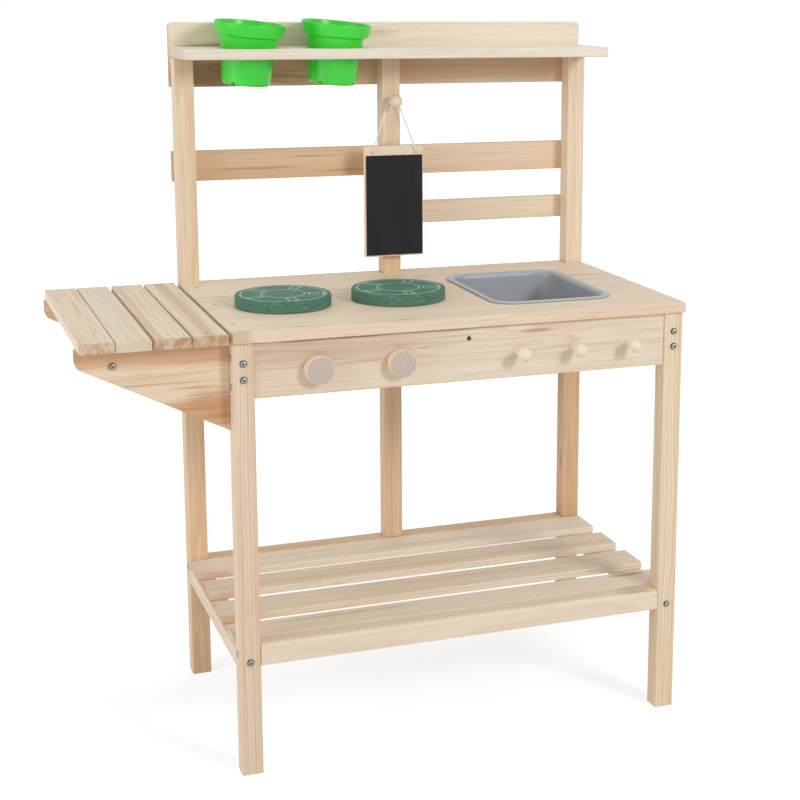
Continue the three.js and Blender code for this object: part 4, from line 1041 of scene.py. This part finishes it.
brads = {
    "radius": 0.9, "depth": 1, "sides": 16,
    "crown": [(0, 0.22), (0.5, 0.2), (0.8, 0.12)],  # (radius, height)
    "steel": (74, 64, 54), "rust": (104, 88, 72),
    # x, y and z of each, then its head's length and width over those of a round one
    "up": [(-171, 14, 606, 1.9, 1), (-128, 15, 606, 3.6, 1), (-78, 17, 606, 2, 1.2),
           (-30, 13, 606, 3, 1.9), (-171, 374, 606, 1.9, 1), (-128, 374, 606, 1.9, 1),
           (-78, 373, 606, 1.9, 1), (-33, 374, 606, 3, 1.4), (17, 326, 607, 4, 1.6),
           (17, 189, 607, 3.4, 1.6), (13, 49, 607, 4.2, 1.3), (637, 203, 607, 2, 1),
           (630, 54, 607, 2.4, 1.2), (627, 326, 607, 2, 1), (14, 300, 950, 1.9, 1),
           (14, 372, 950, 1.9, 1), (323, 372, 950, 1.9, 1), (626, 372, 950, 1.9, 1)],
    "boardBacks": 399.3,
    "back": [(14, 776), (323, 776), (626, 776), (323, 694), (626, 694), (14, 916), (323, 916), (626, 916)],
}


def bradPaint():
    paint = Paint("steelBrad")
    rust = paint.noise(paint.place(), scale=1.2)
    color = paint.blend(paint.between(rust, 0.4, 0.7), tint(brads["steel"]), tint(brads["rust"]))
    return paint.finish({"Base Color": color, "Roughness": rust * 0.3 + 0.4, "Metallic": 0.4})


stem = [(brads["radius"], 0), (brads["radius"], -brads["depth"]), (0, -brads["depth"])]
bradSkin = turned([*brads["crown"], *stem], brads["sides"])
bradLook = bradPaint()
bradsUp = [moved(bradSkin * (long, wide, 1), (x, y, z)) for x, y, z, long, wide in brads["up"]]
bradsBack = [moved(bradSkin, (x, brads["boardBacks"], z), back) for x, z in brads["back"]]
makePiece("brads_on_boards", bradsUp, bradLook, "frame")
makePiece("brads_at_back", bradsBack, bradLook, "frame")
print("brads made:", len(bradsUp) + len(bradsBack))


slate = {"middle": (323, 341, 715), "black": (31, 31, 35), "chalkDust": (92, 94, 98)}


def slatePaint():
    # Matt black with a breath of old chalk, wiped in slow arcs
    paint = Paint("slateBlack")
    spot = paint.place(at(*slate["middle"]))
    wiped = paint.noise(paint.vector("MULTIPLY", spot, (0.05, 1.0, 0.012)), detail=3.0, roughness=0.6)
    dust = paint.noise(spot, scale=2.5, detail=3.0, roughness=0.7)
    color = paint.blend(paint.between(wiped, 0.45, 0.85) * 0.07, tint(slate["black"]),
                        tint(slate["chalkDust"]))
    return paint.finish({"Base Color": color, "Roughness": dust * 0.12 + 0.72, "Specular IOR Level": 0.3},
                        dust, 0.03)


repaint("chalkboard_panel", slatePaint())


# Places and sizes in the studio are metres, in the frame's own axes, and powers are watts.
studio = {
    "world": 0.45,  # strength of what lights the object from all round
    "lamps": {
        "keyLamp": {"place": (1.65, -3.0, 2.05), "aim": (0, 0, 0.5), "size": 0.85, "power": 46},
        "fillLamp": {"place": (-3.2, -0.9, 1.2), "aim": (0, 0, 0.5), "size": 2.2, "power": 40},
        "topLamp": {"place": (0.1, 0.1, 3.8), "aim": (0, 0, 0.5), "size": 2.4, "power": 18},
    },
    "floorReach": 30,
    # What the camera sees of the floor: these two add up to white in full light
    "floorColor": (0.6, 0.59, 0.565, 1), "floorGlow": (0.63, 0.65, 0.682, 1),
    "floorCloud": (0.36, 0.36, 0.36, 1),
    "floorPlain": (0.8, 0.8, 0.8, 1),  # what lights the object
    # More glow where the lamps don't reach, from and up to so many metres away
    "farGlow": (1.6, 1.6, 1.6, 1), "farShare": 0.26, "farEdges": (0.6, 3.0),
}


def seenDirectly(paint):
    # 1 for what the camera, gloss or clear pieces see, 0 for what only lights the object
    path = paint.add("LightPath").socket.node
    camera, glossy, through = (Wire(paint, path.outputs[key]) for key in
                               ("Is Camera Ray", "Is Glossy Ray", "Is Transmission Ray"))
    return paint.maths("MAXIMUM", paint.maths("MAXIMUM", camera, glossy), through)


def makeStudio(facts):
    world = bpy.data.worlds.new("studioWorld")
    bpy.context.scene.world = world
    paint = Paint(world)
    strength = seenDirectly(paint) * (1.0 - facts["world"]) + facts["world"]
    light = paint.add("Background", None, {"Color": (1, 1, 1, 1), "Strength": strength})
    paint.add("OutputWorld", None, {"Surface": light})
    for name, lamp in facts["lamps"].items():
        data = bpy.data.lights.new(name, "AREA")
        data.size, data.energy = lamp["size"], lamp["power"]
        made = bpy.data.objects.new(name, data)
        made.location = lamp["place"]
        aim = Vector(lamp["aim"]) - Vector(lamp["place"])
        made.rotation_euler = aim.to_track_quat("-Z", "Y").to_euler()
        bpy.context.scene.collection.objects.link(made)


def floorPaint(facts):
    # Pale floor: what the camera and gloss see glows a little, so that only shadows darken it
    paint = Paint("paleFloor")
    spot = paint.add("TexCoord", out=3)
    far = paint.between(paint.vector("LENGTH", spot, (0, 0, 0), out=1), *facts["farEdges"])
    color = paint.blend(paint.noise(spot, scale=2.0) * 0.04, facts["floorColor"], facts["floorCloud"])
    glow = paint.blend(far * facts["farShare"], facts["floorGlow"], facts["farGlow"])
    seenFloor = paint.add("AddShader", None, {0: paint.add("BsdfDiffuse", None, {"Color": color}),
                                              1: paint.add("Emission", None, {"Color": glow})})
    plain = paint.add("BsdfDiffuse", None, {"Color": facts["floorPlain"]})
    surface = paint.add("MixShader", None, {0: seenDirectly(paint), 1: plain, 2: seenFloor})
    paint.add("OutputMaterial", None, {"Surface": surface})
    return paint.material


makeStudio(studio)
floorMesh = bpy.data.meshes.new("studioFloor")
corners = [(x * studio["floorReach"], y * studio["floorReach"], 0)
           for x, y in ((-1, -1), (1, -1), (1, 1), (-1, 1))]
floorMesh.from_pydata(corners, [], [(0, 1, 2, 3)])
floorMesh.materials.append(floorPaint(studio))
floor = bpy.data.objects.new("studioFloor", floorMesh)
bpy.context.scene.collection.objects.link(floor)
bpy.context.scene.view_settings.view_transform = "Standard"
print("studio set")
